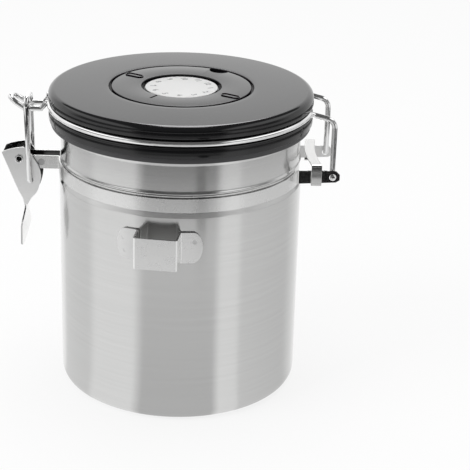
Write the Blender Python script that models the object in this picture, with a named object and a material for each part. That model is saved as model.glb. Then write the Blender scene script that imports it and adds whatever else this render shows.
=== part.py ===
"""Stainless steel coffee canister with a wire bail closure.

Metres, +Z up, origin at the centre of the base's underside. The front, with the scoop bracket,
faces -Y, the latch is at -X and the hinge at +X.
"""

from math import asin, atan2, cos, pi, radians, sin, sqrt, tan

import bmesh
import bpy
from mathutils import Matrix, Vector

# Clearances and faceting
FIT = 0.0003
CUT_OVERRUN = 0.002
ROUND_STEPS = 48
MIDDLE_STEPS = 32
SMALL_STEPS = 16
SCREW_STEPS = 12
VENT_STEPS = 10
WIRE_RESOLUTION = 2
SMOOTH_ANGLE = radians(35.0)
MERGE_DISTANCE = 0.00001

# Can
BODY_RADIUS = 0.0625
BODY_WALL = 0.0008
BASE_CORNER_RADIUS = 0.0056
NECK_INSET = 0.0009
NECK_RADIUS = BODY_RADIUS - NECK_INSET
RIM_TOP_Z = 0.1423
RIM_CURL_RADIUS = 0.0013
RIM_CURL_CENTRE_RADIUS = NECK_RADIUS + RIM_CURL_RADIUS
RIM_CURL_END = radians(-126.0)
NECK_HEIGHT = 0.0293
SHOULDER_HEIGHT = 0.0018
SHOULDER_HIGH_Z = RIM_TOP_Z - NECK_HEIGHT
SHOULDER_LOW_Z = SHOULDER_HIGH_Z - SHOULDER_HEIGHT
FLARE_HEIGHT = 0.0048
FLARE_LOW_Z = RIM_TOP_Z - FLARE_HEIGHT
INNER_FLARE_HEIGHT = 0.0027
NECK_INNER_HIGH_Z = RIM_TOP_Z - INNER_FLARE_HEIGHT

# Strap round the neck, and the bead above it
STRAP_THICKNESS = 0.0008
STRAP_HEIGHT = 0.0070
STRAP_RISE = 0.0009
STRAP_LOW_Z = SHOULDER_HIGH_Z + STRAP_RISE
STRAP_HIGH_Z = STRAP_LOW_Z + STRAP_HEIGHT
STRAP_RADIUS = NECK_RADIUS + FIT + STRAP_THICKNESS / 2
STRAP_BEND_RADIUS = 0.0012
STRAP_ARC_STEPS = 28
BEAD_RISE = 0.0021
BEAD_Z = STRAP_HIGH_Z + BEAD_RISE
BEAD_HALF_HEIGHT = 0.0012
BEAD_PROUD = 0.0005

# Lid
GASKET_WEB = 0.0018
PLATE_UNDERSIDE_Z = RIM_TOP_Z + GASKET_WEB
LID_OVERHANG = 0.0046
LID_RADIUS = RIM_CURL_CENTRE_RADIUS + LID_OVERHANG
LID_EDGE_RADIUS = 0.0034
LID_CROWN = 0.0004
LID_WALL = 0.0020
PLATE_TOP_Z = PLATE_UNDERSIDE_Z + LID_WALL
LOWER_RING_HEIGHT = 0.0042
GROOVE_HEIGHT = 0.0042
TOP_HEIGHT = 0.0065
GROOVE_LOW_Z = PLATE_UNDERSIDE_Z + LOWER_RING_HEIGHT
GROOVE_HIGH_Z = GROOVE_LOW_Z + GROOVE_HEIGHT
LID_TOP_Z = GROOVE_HIGH_Z + TOP_HEIGHT
GROOVE_DEPTH = 0.0025
GROOVE_FLOOR_RADIUS = LID_RADIUS - GROOVE_DEPTH
LOWER_RING_INSET = 0.0001
LOWER_RING_RADIUS = LID_RADIUS - LOWER_RING_INSET
LOWER_RING_EDGE = 0.0012
SKIRT_DEPTH = 0.0012
SKIRT_LOW_Z = PLATE_UNDERSIDE_Z - SKIRT_DEPTH
SKIRT_WALL = 0.0007
PLUG_INSET = 0.0036
PLUG_RADIUS = NECK_RADIUS - PLUG_INSET
PLUG_WALL = 0.0020
PLUG_DEPTH = 0.0042
PLUG_LOW_Z = PLATE_UNDERSIDE_Z - PLUG_DEPTH
GASKET_LIP_DEPTH = 0.0040
GASKET_LIP_LOW_Z = PLATE_UNDERSIDE_Z - GASKET_LIP_DEPTH
GASKET_LIP_WALL = 0.0010

# Lid wire: its ring in the lid's groove and its nose at the latch, measured outward from the ring
LID_WIRE_RADIUS = 0.00145
WIRE_PLAY = 0.00035
WIRE_RISE = 0.0020
LID_WIRE_RING_RADIUS = GROOVE_FLOOR_RADIUS + LID_WIRE_RADIUS + WIRE_PLAY
LID_WIRE_Z = GROOVE_LOW_Z + WIRE_RISE
LID_WIRE_ARC_STEPS = 24
NOSE_HALF_WIDTH = 0.0052
NOSE_ROOT = 0.0010
NOSE_DIP = 0.0042
NOSE_BEND = 0.0127
NOSE_TIP = 0.0201
NOSE_DROP = 0.0040
NOSE_RISE = 0.0011
NOSE_ROOT_X = -LID_WIRE_RING_RADIUS - NOSE_ROOT
NOSE_DIP_X = -LID_WIRE_RING_RADIUS - NOSE_DIP
NOSE_BEND_X = -LID_WIRE_RING_RADIUS - NOSE_BEND
NOSE_TIP_X = -LID_WIRE_RING_RADIUS - NOSE_TIP
NOSE_LOW_Z = LID_WIRE_Z - NOSE_DROP
NOSE_TIP_Z = LID_WIRE_Z + NOSE_RISE
NOSE_ROOT_BEND = 0.0030
NOSE_TIP_BEND = 0.0048

# Latch: the lever turns on a rivet through the strap's ears, and the link turns in the lever
LATCH_REACH = 0.0213
LATCH_RISE = 0.0053
LATCH_PIVOT_X = -NECK_RADIUS - LATCH_REACH
LATCH_PIVOT_Z = STRAP_LOW_Z + LATCH_RISE
LEVER_SHEET = 0.0008
LEVER_HALF_WIDTH = 0.0060
EAR_GAP = 0.0009
LATCH_EAR_Y = LEVER_HALF_WIDTH - LEVER_SHEET - EAR_GAP
LATCH_EYE_RADIUS = 0.0037
LATCH_EYE_BLEND = 0.0050
EYE_STEPS = 8
RIVET_TUBE_RADIUS = 0.0015
RIVET_BORE_RADIUS = 0.0012
RIVET_HEAD_RADIUS = 0.0021
RIVET_HEAD_THICKNESS = 0.0004
RIVET_FLARE_RADIUS = 0.0016
CHEEK_LENGTH = 0.0310
CHEEK_WIDTH = 0.0200
TAIL_LENGTH = 0.0246
TAIL_HALF_WIDTH = 0.0060
TAIL_NECK_HALF_WIDTH = 0.0030
TAIL_TIP_HALF_WIDTH = 0.0008
TAIL_SWAY = 0.0034
TAIL_TWIST = radians(14.0)
LINK_PIVOT_OFFSET_X = 0.0054
LINK_PIVOT_OFFSET_Z = -0.0115
LINK_PIVOT_X = LATCH_PIVOT_X + LINK_PIVOT_OFFSET_X
LINK_PIVOT_Z = LATCH_PIVOT_Z + LINK_PIVOT_OFFSET_Z
LINK_WIRE_RADIUS = 0.0013
LINK_SIDE_GAP = 0.0010
LINK_HALF_WIDTH = LEVER_HALF_WIDTH + LINK_SIDE_GAP + LINK_WIRE_RADIUS
LINK_OVER_NOSE = 0.0053
LINK_TOP_Z = NOSE_LOW_Z + LINK_OVER_NOSE
LINK_LEAN = -0.0008
LINK_BOW_RADIUS = 0.0046
LINK_FOOT_BEND = 0.0018
LINK_FOOT_INSIDE = 0.0010

# Hinge: the lid wire's legs turn in the strap's ears, and a folded clip holds the ears together.
# The ears, clip and legs are set out along and across a line at the hinge's own azimuth.
HINGE_AZIMUTH = radians(2.9)
HINGE_TURN = Matrix.Rotation(HINGE_AZIMUTH, 3, "Z")
HINGE_REACH = 0.0156
HINGE_X = NECK_RADIUS + HINGE_REACH
HINGE_Z = STRAP_LOW_Z + STRAP_HEIGHT / 2
HINGE_EAR_Y = 0.0198
HINGE_EAR_END = 0.0036
HINGE_EAR_END_X = HINGE_X + HINGE_EAR_END
HINGE_EAR_CHAMFER = 0.0020
HINGE_EAR_TAPER = 0.0008
LEG_Y = HINGE_EAR_Y - STRAP_THICKNESS / 2 - FIT - LID_WIRE_RADIUS
LEG_TOP_DROP = 0.0034
LEG_TOP_Z = LID_WIRE_Z - LEG_TOP_DROP
LEG_BEND_RADIUS = 0.0050
LEG_RING_BEND = 0.0040
LEG_FOOT_BEND = 0.0018
LEG_FOOT_PROUD = 0.0014
CLIP_REACH = 0.0046
CLIP_X = NECK_RADIUS + CLIP_REACH
CLIP_WIDTH = 0.0053
CLIP_THICKNESS = 0.0008
CLIP_BOW = 0.0016
CLIP_HEADROOM = 0.0025
CLIP_HOOK = 0.0022
CLIP_BEND_RADIUS = 0.0008
CLIP_STEPS = 8

# Date ring and dial
RECESS_RADIUS = 0.03695
RECESS_DEPTH = 0.0034
RECESS_FLOOR_Z = LID_TOP_Z - RECESS_DEPTH
RECESS_UNDERSIDE_Z = RECESS_FLOOR_Z - LID_WALL
RECESS_WALL = 0.0016
RING_GROOVE = 0.0015
DATE_RING_RADIUS = RECESS_RADIUS - RING_GROOVE
DATE_RING_LOW_Z = RECESS_FLOOR_Z + FIT
RING_BAND = 0.0150
RING_HOLE_RADIUS = DATE_RING_RADIUS - RING_BAND
RING_LEDGE = 0.00345
RING_LEDGE_RADIUS = RING_HOLE_RADIUS - RING_LEDGE
RING_LEDGE_THICKNESS = 0.0006
LEDGE_TOP_Z = DATE_RING_LOW_Z + RING_LEDGE_THICKNESS
RING_EDGE = 0.0003
GRIP_LENGTH = 0.0106
GRIP_WIDTH = 0.0042
GRIP_HEIGHT = 0.0005
GRIP_INSET = 0.00045
GRIP_OUTER_RADIUS = DATE_RING_RADIUS - GRIP_INSET
GRIP_AZIMUTHS = (radians(147.5), radians(-32.5))
NOTCH_AZIMUTH = radians(57.5)
NOTCH_RADIUS = 0.0056
NOTCH_DEPTH = 0.0016
INDEX_AZIMUTH = radians(-122.5)
INDEX_LENGTH = 0.0065
INDEX_WIDTH = 0.0008
INDEX_DEPTH = 0.0003
HUB_FLANGE_GAP = 0.00155
HUB_FLANGE_RADIUS = RING_HOLE_RADIUS - HUB_FLANGE_GAP
HUB_FLANGE_THICKNESS = 0.0007
HUB_FLANGE_LOW_Z = LEDGE_TOP_Z + FIT
HUB_PIN_RADIUS = 0.0040
HUB_SCREW_RADIUS = 0.0012
HUB_SCREW_HEAD_RADIUS = 0.0056
HUB_SCREW_HEAD = 0.0014
HUB_SCREW_LENGTH = 0.0024
SOCKET_RADIUS = 0.0010
SOCKET_DEPTH = 0.0008
DIAL_GAP = 0.00205
DIAL_RADIUS = RING_HOLE_RADIUS - DIAL_GAP
DIAL_THICKNESS = 0.0005
DIAL_LOW_Z = HUB_FLANGE_LOW_Z + HUB_FLANGE_THICKNESS + FIT

# Screws that join the lid's halves
LID_SCREW_COUNT = 4
LID_SCREW_INSET = 0.0060
LID_SCREW_CIRCLE = PLUG_RADIUS - PLUG_WALL - LID_SCREW_INSET
LID_SCREW_RADIUS = 0.0014
LID_SCREW_HEAD_RADIUS = 0.0032
LID_SCREW_HEAD = 0.0018
LID_SCREW_LENGTH = 0.0080
BOSS_RADIUS = 0.0040

# One-way valve in the lid's underside
VALVE_HOLE_RADIUS = 0.0170
VALVE_FLANGE = 0.0030
VALVE_FLANGE_RADIUS = VALVE_HOLE_RADIUS + VALVE_FLANGE
VALVE_FLANGE_THICKNESS = 0.0012
VALVE_FLANGE_TOP_Z = PLATE_UNDERSIDE_Z - FIT
VALVE_FLANGE_LOW_Z = VALVE_FLANGE_TOP_Z - VALVE_FLANGE_THICKNESS
VALVE_SEAT_STEP = 0.0008
VALVE_SEAT_TOP_Z = PLATE_TOP_Z + VALVE_SEAT_STEP
VENT_COUNT = 6
VENT_RADIUS = 0.0012
VENT_CIRCLE = 0.0060
VALVE_DISC_RADIUS = 0.0095
VALVE_DISC_THICKNESS = 0.0008
VALVE_STEM_RADIUS = 0.0013
VALVE_BULB_RADIUS = 0.0022
VALVE_BULB_THICKNESS = 0.0006
VALVE_TRAVEL = 0.0010
BULB_TOP_Z = VALVE_FLANGE_LOW_Z - VALVE_TRAVEL - FIT
FILTER_THICKNESS = 0.0010
FILTER_TOP_Z = BULB_TOP_Z - VALVE_BULB_THICKNESS - FIT
COVER_INSET = 0.0004
COVER_RADIUS = VALVE_FLANGE_RADIUS - COVER_INSET
COVER_WALL = 0.0012
COVER_FLOOR_Z = FILTER_TOP_Z - FILTER_THICKNESS - FIT
COVER_SLOT_COUNT = 8
COVER_SLOT_WIDTH = 0.0020
COVER_SLOT_INNER = 0.0040
COVER_SLOT_OUTER = 0.0150

# Bracket for the scoop
BRACKET_AZIMUTH = radians(-97.0)
BRACKET_SHEET = 0.0009
BRACKET_DROP = 0.0232
BRACKET_LOW_Z = SHOULDER_LOW_Z - BRACKET_DROP
BRACKET_HEIGHT = 0.0160
BRACKET_HALF_WIDTH = 0.0109
BRACKET_DEPTH = 0.0112
BRACKET_BEND = 0.0009
TAB_LENGTH = 0.0110
TAB_END = 0.0048
TAB_STEPS = 8
TAB_END_STEPS = 7


def clear_scene():
    for obj in list(bpy.data.objects):
        bpy.data.objects.remove(obj, do_unlink=True)


def make_material(name, color, roughness, metallic):
    material = bpy.data.materials.new(name)
    material.use_nodes = True
    shader = material.node_tree.nodes["Principled BSDF"]
    shader.inputs["Base Color"].default_value = (*color, 1.0)
    shader.inputs["Roughness"].default_value = roughness
    shader.inputs["Metallic"].default_value = metallic
    material.diffuse_color = (*color, 1.0)
    return material


clear_scene()
STEEL = make_material("brushed_steel", (0.60, 0.60, 0.59), 0.32, 1.0)
STRAP_STEEL = make_material("bright_steel", (0.72, 0.72, 0.71), 0.18, 1.0)
CHROME = make_material("chromed_wire", (0.80, 0.80, 0.80), 0.08, 1.0)
BLACK = make_material("gloss_black", (0.012, 0.012, 0.013), 0.12, 0.0)
RUBBER = make_material("black_silicone", (0.030, 0.030, 0.032), 0.55, 0.0)
WHITE = make_material("dial_white", (0.80, 0.80, 0.79), 0.45, 0.0)
CLEAR_SILICONE = make_material("valve_silicone", (0.55, 0.55, 0.53), 0.45, 0.0)
PAPER = make_material("filter_paper", (0.75, 0.72, 0.66), 0.90, 0.0)
SCREW_STEEL = make_material("screw_steel", (0.45, 0.45, 0.46), 0.35, 1.0)


def add_object(name, mesh, material):
    obj = bpy.data.objects.new(name, mesh)
    bpy.context.collection.objects.link(obj)
    mesh.materials.append(material)
    return obj


def mesh_object(name, bm, material):
    """Turn a bmesh into an object with outward faces, smooth but for its sharp edges."""
    bmesh.ops.recalc_face_normals(bm, faces=bm.faces)
    mesh = bpy.data.meshes.new(name)
    bm.to_mesh(mesh)
    bm.free()
    mesh.shade_smooth()
    mesh.set_sharp_from_angle(angle=SMOOTH_ANGLE)
    return add_object(name, mesh, material)


def arc(centre, radius, start, end, steps):
    """Points along an arc, both ends included."""
    turns = [start + (end - start) * i / steps for i in range(steps + 1)]
    return [(centre[0] + radius * cos(t), centre[1] + radius * sin(t)) for t in turns]


def revolve(name, profile, material, steps=ROUND_STEPS, closed=False):
    """Turn a profile of (radius, z) points about Z. It runs down its outer side."""
    bm = bmesh.new()
    verts = [bm.verts.new((r, 0.0, z)) for r, z in profile]
    for a, b in zip(verts, verts[1:]):
        bm.edges.new((a, b))
    if closed:
        bm.edges.new((verts[-1], verts[0]))
    mesh = bpy.data.meshes.new(name)
    bm.to_mesh(mesh)
    bm.free()
    obj = add_object(name, mesh, material)
    screw = obj.modifiers.new("turn", "SCREW")
    screw.axis = "Z"
    screw.steps = steps
    screw.render_steps = steps
    screw.use_merge_vertices = True
    screw.merge_threshold = MERGE_DISTANCE
    screw.use_smooth_shade = True
    return obj


def fillet(corners, radii, steps=4):
    """Round the corners of a route. A radius of zero keeps the corner as a point."""
    route = [Vector(corners[0])]
    for i in range(1, len(corners) - 1):
        before, here, after = (Vector(corners[k]) for k in (i - 1, i, i + 1))
        incoming = (here - before).normalized()
        outgoing = (after - here).normalized()
        turn = incoming.angle(outgoing)
        if radii[i] == 0 or turn < radians(1.0):
            route.append(here)
            continue
        reach = radii[i] * tan(turn / 2)
        start = here - incoming * reach
        axis = incoming.cross(outgoing).normalized()
        centre = start + axis.cross(incoming) * radii[i]
        for k in range(steps + 1):
            spin = Matrix.Rotation(turn * k / steps, 3, axis)
            route.append(centre + spin @ (start - centre))
    route.append(Vector(corners[-1]))
    return route


def tube(name, route, radius, material):
    """A round wire along a route of points, with filled ends."""
    curve = bpy.data.curves.new(name, "CURVE")
    curve.dimensions = "3D"
    curve.bevel_depth = radius
    curve.bevel_resolution = WIRE_RESOLUTION
    curve.resolution_u = 1
    curve.render_resolution_u = 0
    curve.use_fill_caps = True
    curve.twist_mode = "MINIMUM"
    spline = curve.splines.new("POLY")
    spline.points.add(len(route) - 1)
    for point, place in zip(spline.points, route):
        point.co = (*place, 1.0)
    obj = bpy.data.objects.new(name, curve)
    bpy.context.collection.objects.link(obj)
    curve.materials.append(material)
    return obj


def cylinder(name, radius, low, high, material, axis="Z", place=(0.0, 0.0, 0.0), steps=SMALL_STEPS):
    """A round bar from low to high along one axis through a place."""
    bm = bmesh.new()
    bmesh.ops.create_cone(bm, cap_ends=True, segments=steps, radius1=radius, radius2=radius,
                          depth=high - low, matrix=Matrix.Translation((0, 0, (low + high) / 2)))
    if axis == "Y":
        bmesh.ops.rotate(bm, verts=bm.verts, matrix=Matrix.Rotation(-pi / 2, 3, "X"))
    bmesh.ops.translate(bm, verts=bm.verts, vec=place)
    return mesh_object(name, bm, material)


def block(name, size, place, material, turn=0.0):
    """A box of a size, centred on a place, turned about Z."""
    bm = bmesh.new()
    bmesh.ops.create_cube(bm, size=1.0)
    bmesh.ops.scale(bm, verts=bm.verts, vec=size)
    bmesh.ops.rotate(bm, verts=bm.verts, matrix=Matrix.Rotation(turn, 3, "Z"))
    bmesh.ops.translate(bm, verts=bm.verts, vec=place)
    return mesh_object(name, bm, material)


def prism(name, outline, low, high, material, plane="XZ"):
    """An outline of points carried from low to high, along Y for XZ and along Z for XY."""
    bm = bmesh.new()

    def put(u, v, w):
        return (u, w, v) if plane == "XZ" else (u, v, w)

    near = [bm.verts.new(put(u, v, low)) for u, v in outline]
    far = [bm.verts.new(put(u, v, high)) for u, v in outline]
    count = len(outline)
    bm.faces.new(near)
    bm.faces.new(far)
    for i in range(count):
        j = (i + 1) % count
        bm.faces.new((near[i], near[j], far[j], far[i]))
    return mesh_object(name, bm, material)


def combine(obj, tool, operation):
    """Join a hidden tool to an object, or cut it out."""
    modifier = obj.modifiers.new(tool.name, "BOOLEAN")
    modifier.operation = operation
    modifier.solver = "EXACT"
    modifier.object = tool
    tool.hide_render = True
    tool.display_type = "WIRE"
    tool.hide_set(True)
    return obj


def merge_meshes(name, parts, material):
    """One object that holds the meshes of several separate solids."""
    bm = bmesh.new()
    for part in parts:
        bm.from_mesh(part.data)
        bpy.data.objects.remove(part, do_unlink=True)
    return mesh_object(name, bm, material)


def side_offset(path, offset):
    """A flat path moved sideways, to its left, by an offset."""
    moved = []
    for i, here in enumerate(path):
        before = path[max(i - 1, 0)]
        after = path[min(i + 1, len(path) - 1)]
        into = (here - before).normalized() if i else (after - here).normalized()
        out = (after - here).normalized() if i < len(path) - 1 else into
        along = (into + out).normalized()
        normal = Vector((-along.y, along.x))
        moved.append(here + normal * offset / max(normal.dot(Vector((-into.y, into.x))), 0.5))
    return moved


def strip(name, path, thickness, spans, place, material):
    """Sheet metal along a flat path. spans gives each point's two edges, place the solid point."""
    bm = bmesh.new()
    left = side_offset(path, thickness / 2)
    right = side_offset(path, -thickness / 2)
    rings = []
    for a, b, (low, high) in zip(left, right, spans):
        rings.append([bm.verts.new(place(p, w)) for p, w in ((a, low), (a, high), (b, high), (b, low))])
    for ring, following in zip(rings, rings[1:]):
        for k in range(4):
            j = (k + 1) % 4
            bm.faces.new((ring[k], ring[j], following[j], following[k]))
    bm.faces.new(rings[0])
    bm.faces.new(rings[-1])
    return mesh_object(name, bm, material)


def at_hinge(along, across, z):
    """The place of a point that is given along and across the hinge's own line."""
    return HINGE_TURN @ Vector((along, across, z))


def canister_body():
    inner = BODY_RADIUS - BODY_WALL
    neck_inner = NECK_RADIUS - BODY_WALL
    curl = (RIM_CURL_CENTRE_RADIUS, RIM_TOP_Z - RIM_CURL_RADIUS)
    corner_inner = BASE_CORNER_RADIUS - BODY_WALL
    profile = [(0.0, BODY_WALL)]
    profile += arc((inner - corner_inner, BODY_WALL + corner_inner), corner_inner, -pi / 2, 0.0, 3)
    profile += [(inner, SHOULDER_LOW_Z), (neck_inner, SHOULDER_HIGH_Z), (neck_inner, NECK_INNER_HIGH_Z)]
    profile += arc(curl, RIM_CURL_RADIUS, pi, RIM_CURL_END, 7)
    profile += [(NECK_RADIUS, FLARE_LOW_Z)]
    profile += [(NECK_RADIUS, BEAD_Z + BEAD_HALF_HEIGHT), (NECK_RADIUS + BEAD_PROUD, BEAD_Z),
                (NECK_RADIUS, BEAD_Z - BEAD_HALF_HEIGHT)]
    profile += [(NECK_RADIUS, SHOULDER_HIGH_Z), (BODY_RADIUS, SHOULDER_LOW_Z)]
    corner = (BODY_RADIUS - BASE_CORNER_RADIUS, BASE_CORNER_RADIUS)
    profile += arc(corner, BASE_CORNER_RADIUS, 0.0, -pi / 2, 5)
    profile += [(0.0, 0.0)]
    return revolve("canister_body", profile, STEEL)


def strap_half(name, side):
    """Half of the strap: latch ear, half circle and hinge ear. side is -1 in front, 1 behind."""
    eye_end = LATCH_PIVOT_X - LATCH_EYE_RADIUS
    latch_angle = asin(LATCH_EAR_Y / STRAP_RADIUS)
    hinge_angle = asin(HINGE_EAR_Y / STRAP_RADIUS) + side * HINGE_AZIMUTH
    hinge_line = Vector((cos(side * HINGE_AZIMUTH), sin(side * HINGE_AZIMUTH)))
    hinge_across = Vector((-hinge_line.y, hinge_line.x))
    stations = [eye_end + LATCH_EYE_RADIUS * (1 - cos(pi * k / EYE_STEPS)) for k in range(1, EYE_STEPS - 1)]
    blend_end = stations[-1] + LATCH_EYE_BLEND
    corners = [(eye_end, LATCH_EAR_Y)] + [(x, LATCH_EAR_Y) for x in stations + [blend_end]]
    radii = [0.0] * len(corners)
    for k in range(STRAP_ARC_STEPS + 1):
        turn = pi - latch_angle - (pi - latch_angle - hinge_angle) * k / STRAP_ARC_STEPS
        corners.append((STRAP_RADIUS * cos(turn), STRAP_RADIUS * sin(turn)))
        radii.append(STRAP_BEND_RADIUS if k in (0, STRAP_ARC_STEPS) else 0.0)
    for along in (HINGE_EAR_END_X - HINGE_EAR_CHAMFER, HINGE_EAR_END_X):
        corners.append(tuple(along * hinge_line + HINGE_EAR_Y * hinge_across))
        radii.append(0.0)
    route = fillet([(x, y, 0.0) for x, y in corners], radii, 3)
    path = [Vector((p.x, p.y)) for p in route]
    spans = []
    for p in path:
        reach = abs(p.x - LATCH_PIVOT_X)
        low, high = STRAP_LOW_Z, STRAP_HIGH_Z
        if p.x < blend_end:
            half = sqrt(max(LATCH_EYE_RADIUS ** 2 - min(reach, LATCH_EYE_RADIUS) ** 2,
                            (LATCH_EYE_RADIUS / 4) ** 2))
            low, high = LATCH_PIVOT_Z - half, LATCH_PIVOT_Z + half
            if p.x > LATCH_PIVOT_X:
                low, high = min(low, STRAP_LOW_Z), max(high, STRAP_HIGH_Z)
        left = HINGE_EAR_END_X - p.dot(hinge_line)
        if left < HINGE_EAR_CHAMFER / 2:
            low, high = STRAP_LOW_Z + HINGE_EAR_CHAMFER, STRAP_HIGH_Z - HINGE_EAR_CHAMFER
        elif left < 3 * HINGE_EAR_CHAMFER / 2:
            low = STRAP_LOW_Z + HINGE_EAR_TAPER
        spans.append((low, high))
    strap = strip(name, path, STRAP_THICKNESS, spans, lambda p, z: (p.x, side * p.y, z), STRAP_STEEL)
    reach = (HINGE_EAR_Y + STRAP_THICKNESS + CUT_OVERRUN) * side
    near = (LATCH_EAR_Y - STRAP_THICKNESS - CUT_OVERRUN) * side
    low, high = sorted((near, reach))
    rivet_hole = cylinder(name + "_rivet_hole", RIVET_TUBE_RADIUS + FIT, low, high, STRAP_STEEL, "Y",
                          (LATCH_PIVOT_X, 0.0, LATCH_PIVOT_Z))
    pin_hole = cylinder(name + "_pin_hole", LID_WIRE_RADIUS + FIT, low, high, STRAP_STEEL, "Y",
                        (HINGE_X, 0.0, HINGE_Z))
    pin_hole.data.transform(HINGE_TURN.to_4x4())
    combine(strap, rivet_hole, "DIFFERENCE")
    combine(strap, pin_hole, "DIFFERENCE")
    return strap


def hinge_clip():
    """A strip over both hinge ears, folded down their outsides and hooked under them."""
    outside = HINGE_EAR_Y + STRAP_THICKNESS / 2 + FIT + CLIP_THICKNESS / 2
    top = STRAP_HIGH_Z + CLIP_HEADROOM + CLIP_THICKNESS / 2
    bottom = STRAP_LOW_Z - FIT - CLIP_THICKNESS / 2
    hook = outside - CLIP_HOOK
    corners = [(-hook, bottom), (-outside, bottom), (-outside, top)]
    corners += [(outside * (2 * k / CLIP_STEPS - 1), top) for k in range(1, CLIP_STEPS)]
    corners += [(outside, top), (outside, bottom), (hook, bottom)]
    radii = [CLIP_BEND_RADIUS if abs(y) == outside else 0.0 for y, z in corners]
    route = fillet([(y, z, 0.0) for y, z in corners], radii, 2)
    path = [Vector((p.x, p.y)) for p in route]
    spans = []
    for p in path:
        bow = CLIP_BOW * cos(pi / 2 * p.x / outside) if p.y > HINGE_Z else 0.0
        spans.append((CLIP_X - bow, CLIP_X + CLIP_WIDTH - bow))
    return strip("hinge_clip", path, CLIP_THICKNESS, spans, lambda p, x: at_hinge(x, p.x, p.y), STRAP_STEEL)


def latch_rivet():
    """A tubular rivet with two turned-over heads, on the lever's pivot."""
    head_in = LEVER_HALF_WIDTH + FIT
    head_out = head_in + RIVET_HEAD_THICKNESS
    flare = head_out - (RIVET_FLARE_RADIUS - RIVET_BORE_RADIUS)
    profile = [(RIVET_BORE_RADIUS, flare), (RIVET_FLARE_RADIUS, head_out), (RIVET_HEAD_RADIUS, head_out),
               (RIVET_HEAD_RADIUS, head_in), (RIVET_TUBE_RADIUS, head_in)]
    profile += [(r, -z) for r, z in reversed(profile)]
    rivet = revolve("latch_rivet", profile, CHROME, SMALL_STEPS, closed=True)
    rivet.rotation_euler = (pi / 2, 0.0, 0.0)
    rivet.location = (LATCH_PIVOT_X, 0.0, LATCH_PIVOT_Z)
    return rivet


# Cheek outline from the pivot, clockwise from the outer corner, as shares of the cheek's width and length
CHEEK_SHARES = ((-0.445, 0.113), (-0.285, 0.155), (-0.115, 0.184), (0.090, 0.206), (0.165, 0.190),
                (0.300, 0.094), (0.395, -0.006), (0.490, -0.110), (0.530, -0.213), (0.545, -0.313),
                (0.510, -0.445), (0.435, -0.581), (0.290, -0.690), (0.195, -0.803), (0.105, -0.819),
                (0.070, -0.694), (-0.030, -0.568), (-0.150, -0.377))
# The outline's points that the web follows down the cheeks' outer edges
WEB_POINTS = (0, 17, 16, 15, 14)
# Tail: distance below the web, sway outward and half width, as shares of the tail's own sizes
TAIL_WIDEST = 0.36
TAIL_SHARES = ((0.10, 0.05, 0.0), (0.22, 0.10, 0.45), (TAIL_WIDEST, 0.14, 1.0), (0.52, 0.22, 0.97),
               (0.68, 0.38, 0.74), (0.84, 0.60, 0.42), (0.95, 0.76, 0.18), (1.00, 0.83, 0.0))


def latch_lever():
    """Two cheeks, the web between their outer edges and the leaf shaped tail that grows out of it."""
    outline = [(LATCH_PIVOT_X + u * CHEEK_WIDTH, LATCH_PIVOT_Z + v * CHEEK_LENGTH) for u, v in CHEEK_SHARES]
    inside = LEVER_HALF_WIDTH - LEVER_SHEET
    front = prism("latch_lever", outline, -LEVER_HALF_WIDTH, -inside, STRAP_STEEL)
    rear = prism("latch_lever_rear", outline, inside, LEVER_HALF_WIDTH, STRAP_STEEL)
    web = [Vector(outline[k]) for k in WEB_POINTS]
    centre = side_offset(web, LEVER_SHEET / 2)
    root = centre[-1]
    path = list(centre)
    halves = [LEVER_HALF_WIDTH - LEVER_SHEET / 4] * len(centre)
    for down, sway, wide in TAIL_SHARES:
        path.append(Vector((root.x - sway * TAIL_SWAY, root.y - down * TAIL_LENGTH)))
        narrow = TAIL_NECK_HALF_WIDTH if down < TAIL_WIDEST else TAIL_TIP_HALF_WIDTH
        halves.append(narrow + wide * (TAIL_HALF_WIDTH - narrow))
    spans = [(-half, half) for half in halves]

    def place(p, y):
        below = min(max((root.y - p.y) / (TAIL_LENGTH / 2), 0.0), 1.0)
        return (p.x + y * tan(TAIL_TWIST) * below, y, p.y)

    sheet = strip("latch_lever_sheet", path, LEVER_SHEET, spans, place, STRAP_STEEL)
    combine(front, rear, "UNION")
    combine(front, sheet, "UNION")
    reach = LEVER_HALF_WIDTH + CUT_OVERRUN
    for label, radius, x, z in (("rivet", RIVET_TUBE_RADIUS, LATCH_PIVOT_X, LATCH_PIVOT_Z),
                                ("link", LINK_WIRE_RADIUS, LINK_PIVOT_X, LINK_PIVOT_Z)):
        hole = cylinder("lever_hole_" + label, radius + FIT, -reach, reach, STRAP_STEEL, "Y", (x, 0.0, z))
        combine(front, hole, "DIFFERENCE")
    return front


def draw_link():
    """A bent wire: two feet through the lever's cheeks, two legs and the bow over the lid wire's nose."""
    foot = LEVER_HALF_WIDTH - LEVER_SHEET - LINK_FOOT_INSIDE
    low = (LINK_PIVOT_X, LINK_PIVOT_Z)
    high = (LINK_PIVOT_X + LINK_LEAN, LINK_TOP_Z)
    corners = [(low[0], -foot, low[1]), (low[0], -LINK_HALF_WIDTH, low[1]),
               (high[0], -LINK_HALF_WIDTH, high[1]), (high[0], LINK_HALF_WIDTH, high[1]),
               (low[0], LINK_HALF_WIDTH, low[1]), (low[0], foot, low[1])]
    radii = [0.0, LINK_FOOT_BEND, LINK_BOW_RADIUS, LINK_BOW_RADIUS, LINK_FOOT_BEND, 0.0]
    return tube("draw_link", fillet(corners, radii, 6), LINK_WIRE_RADIUS, CHROME)


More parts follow.
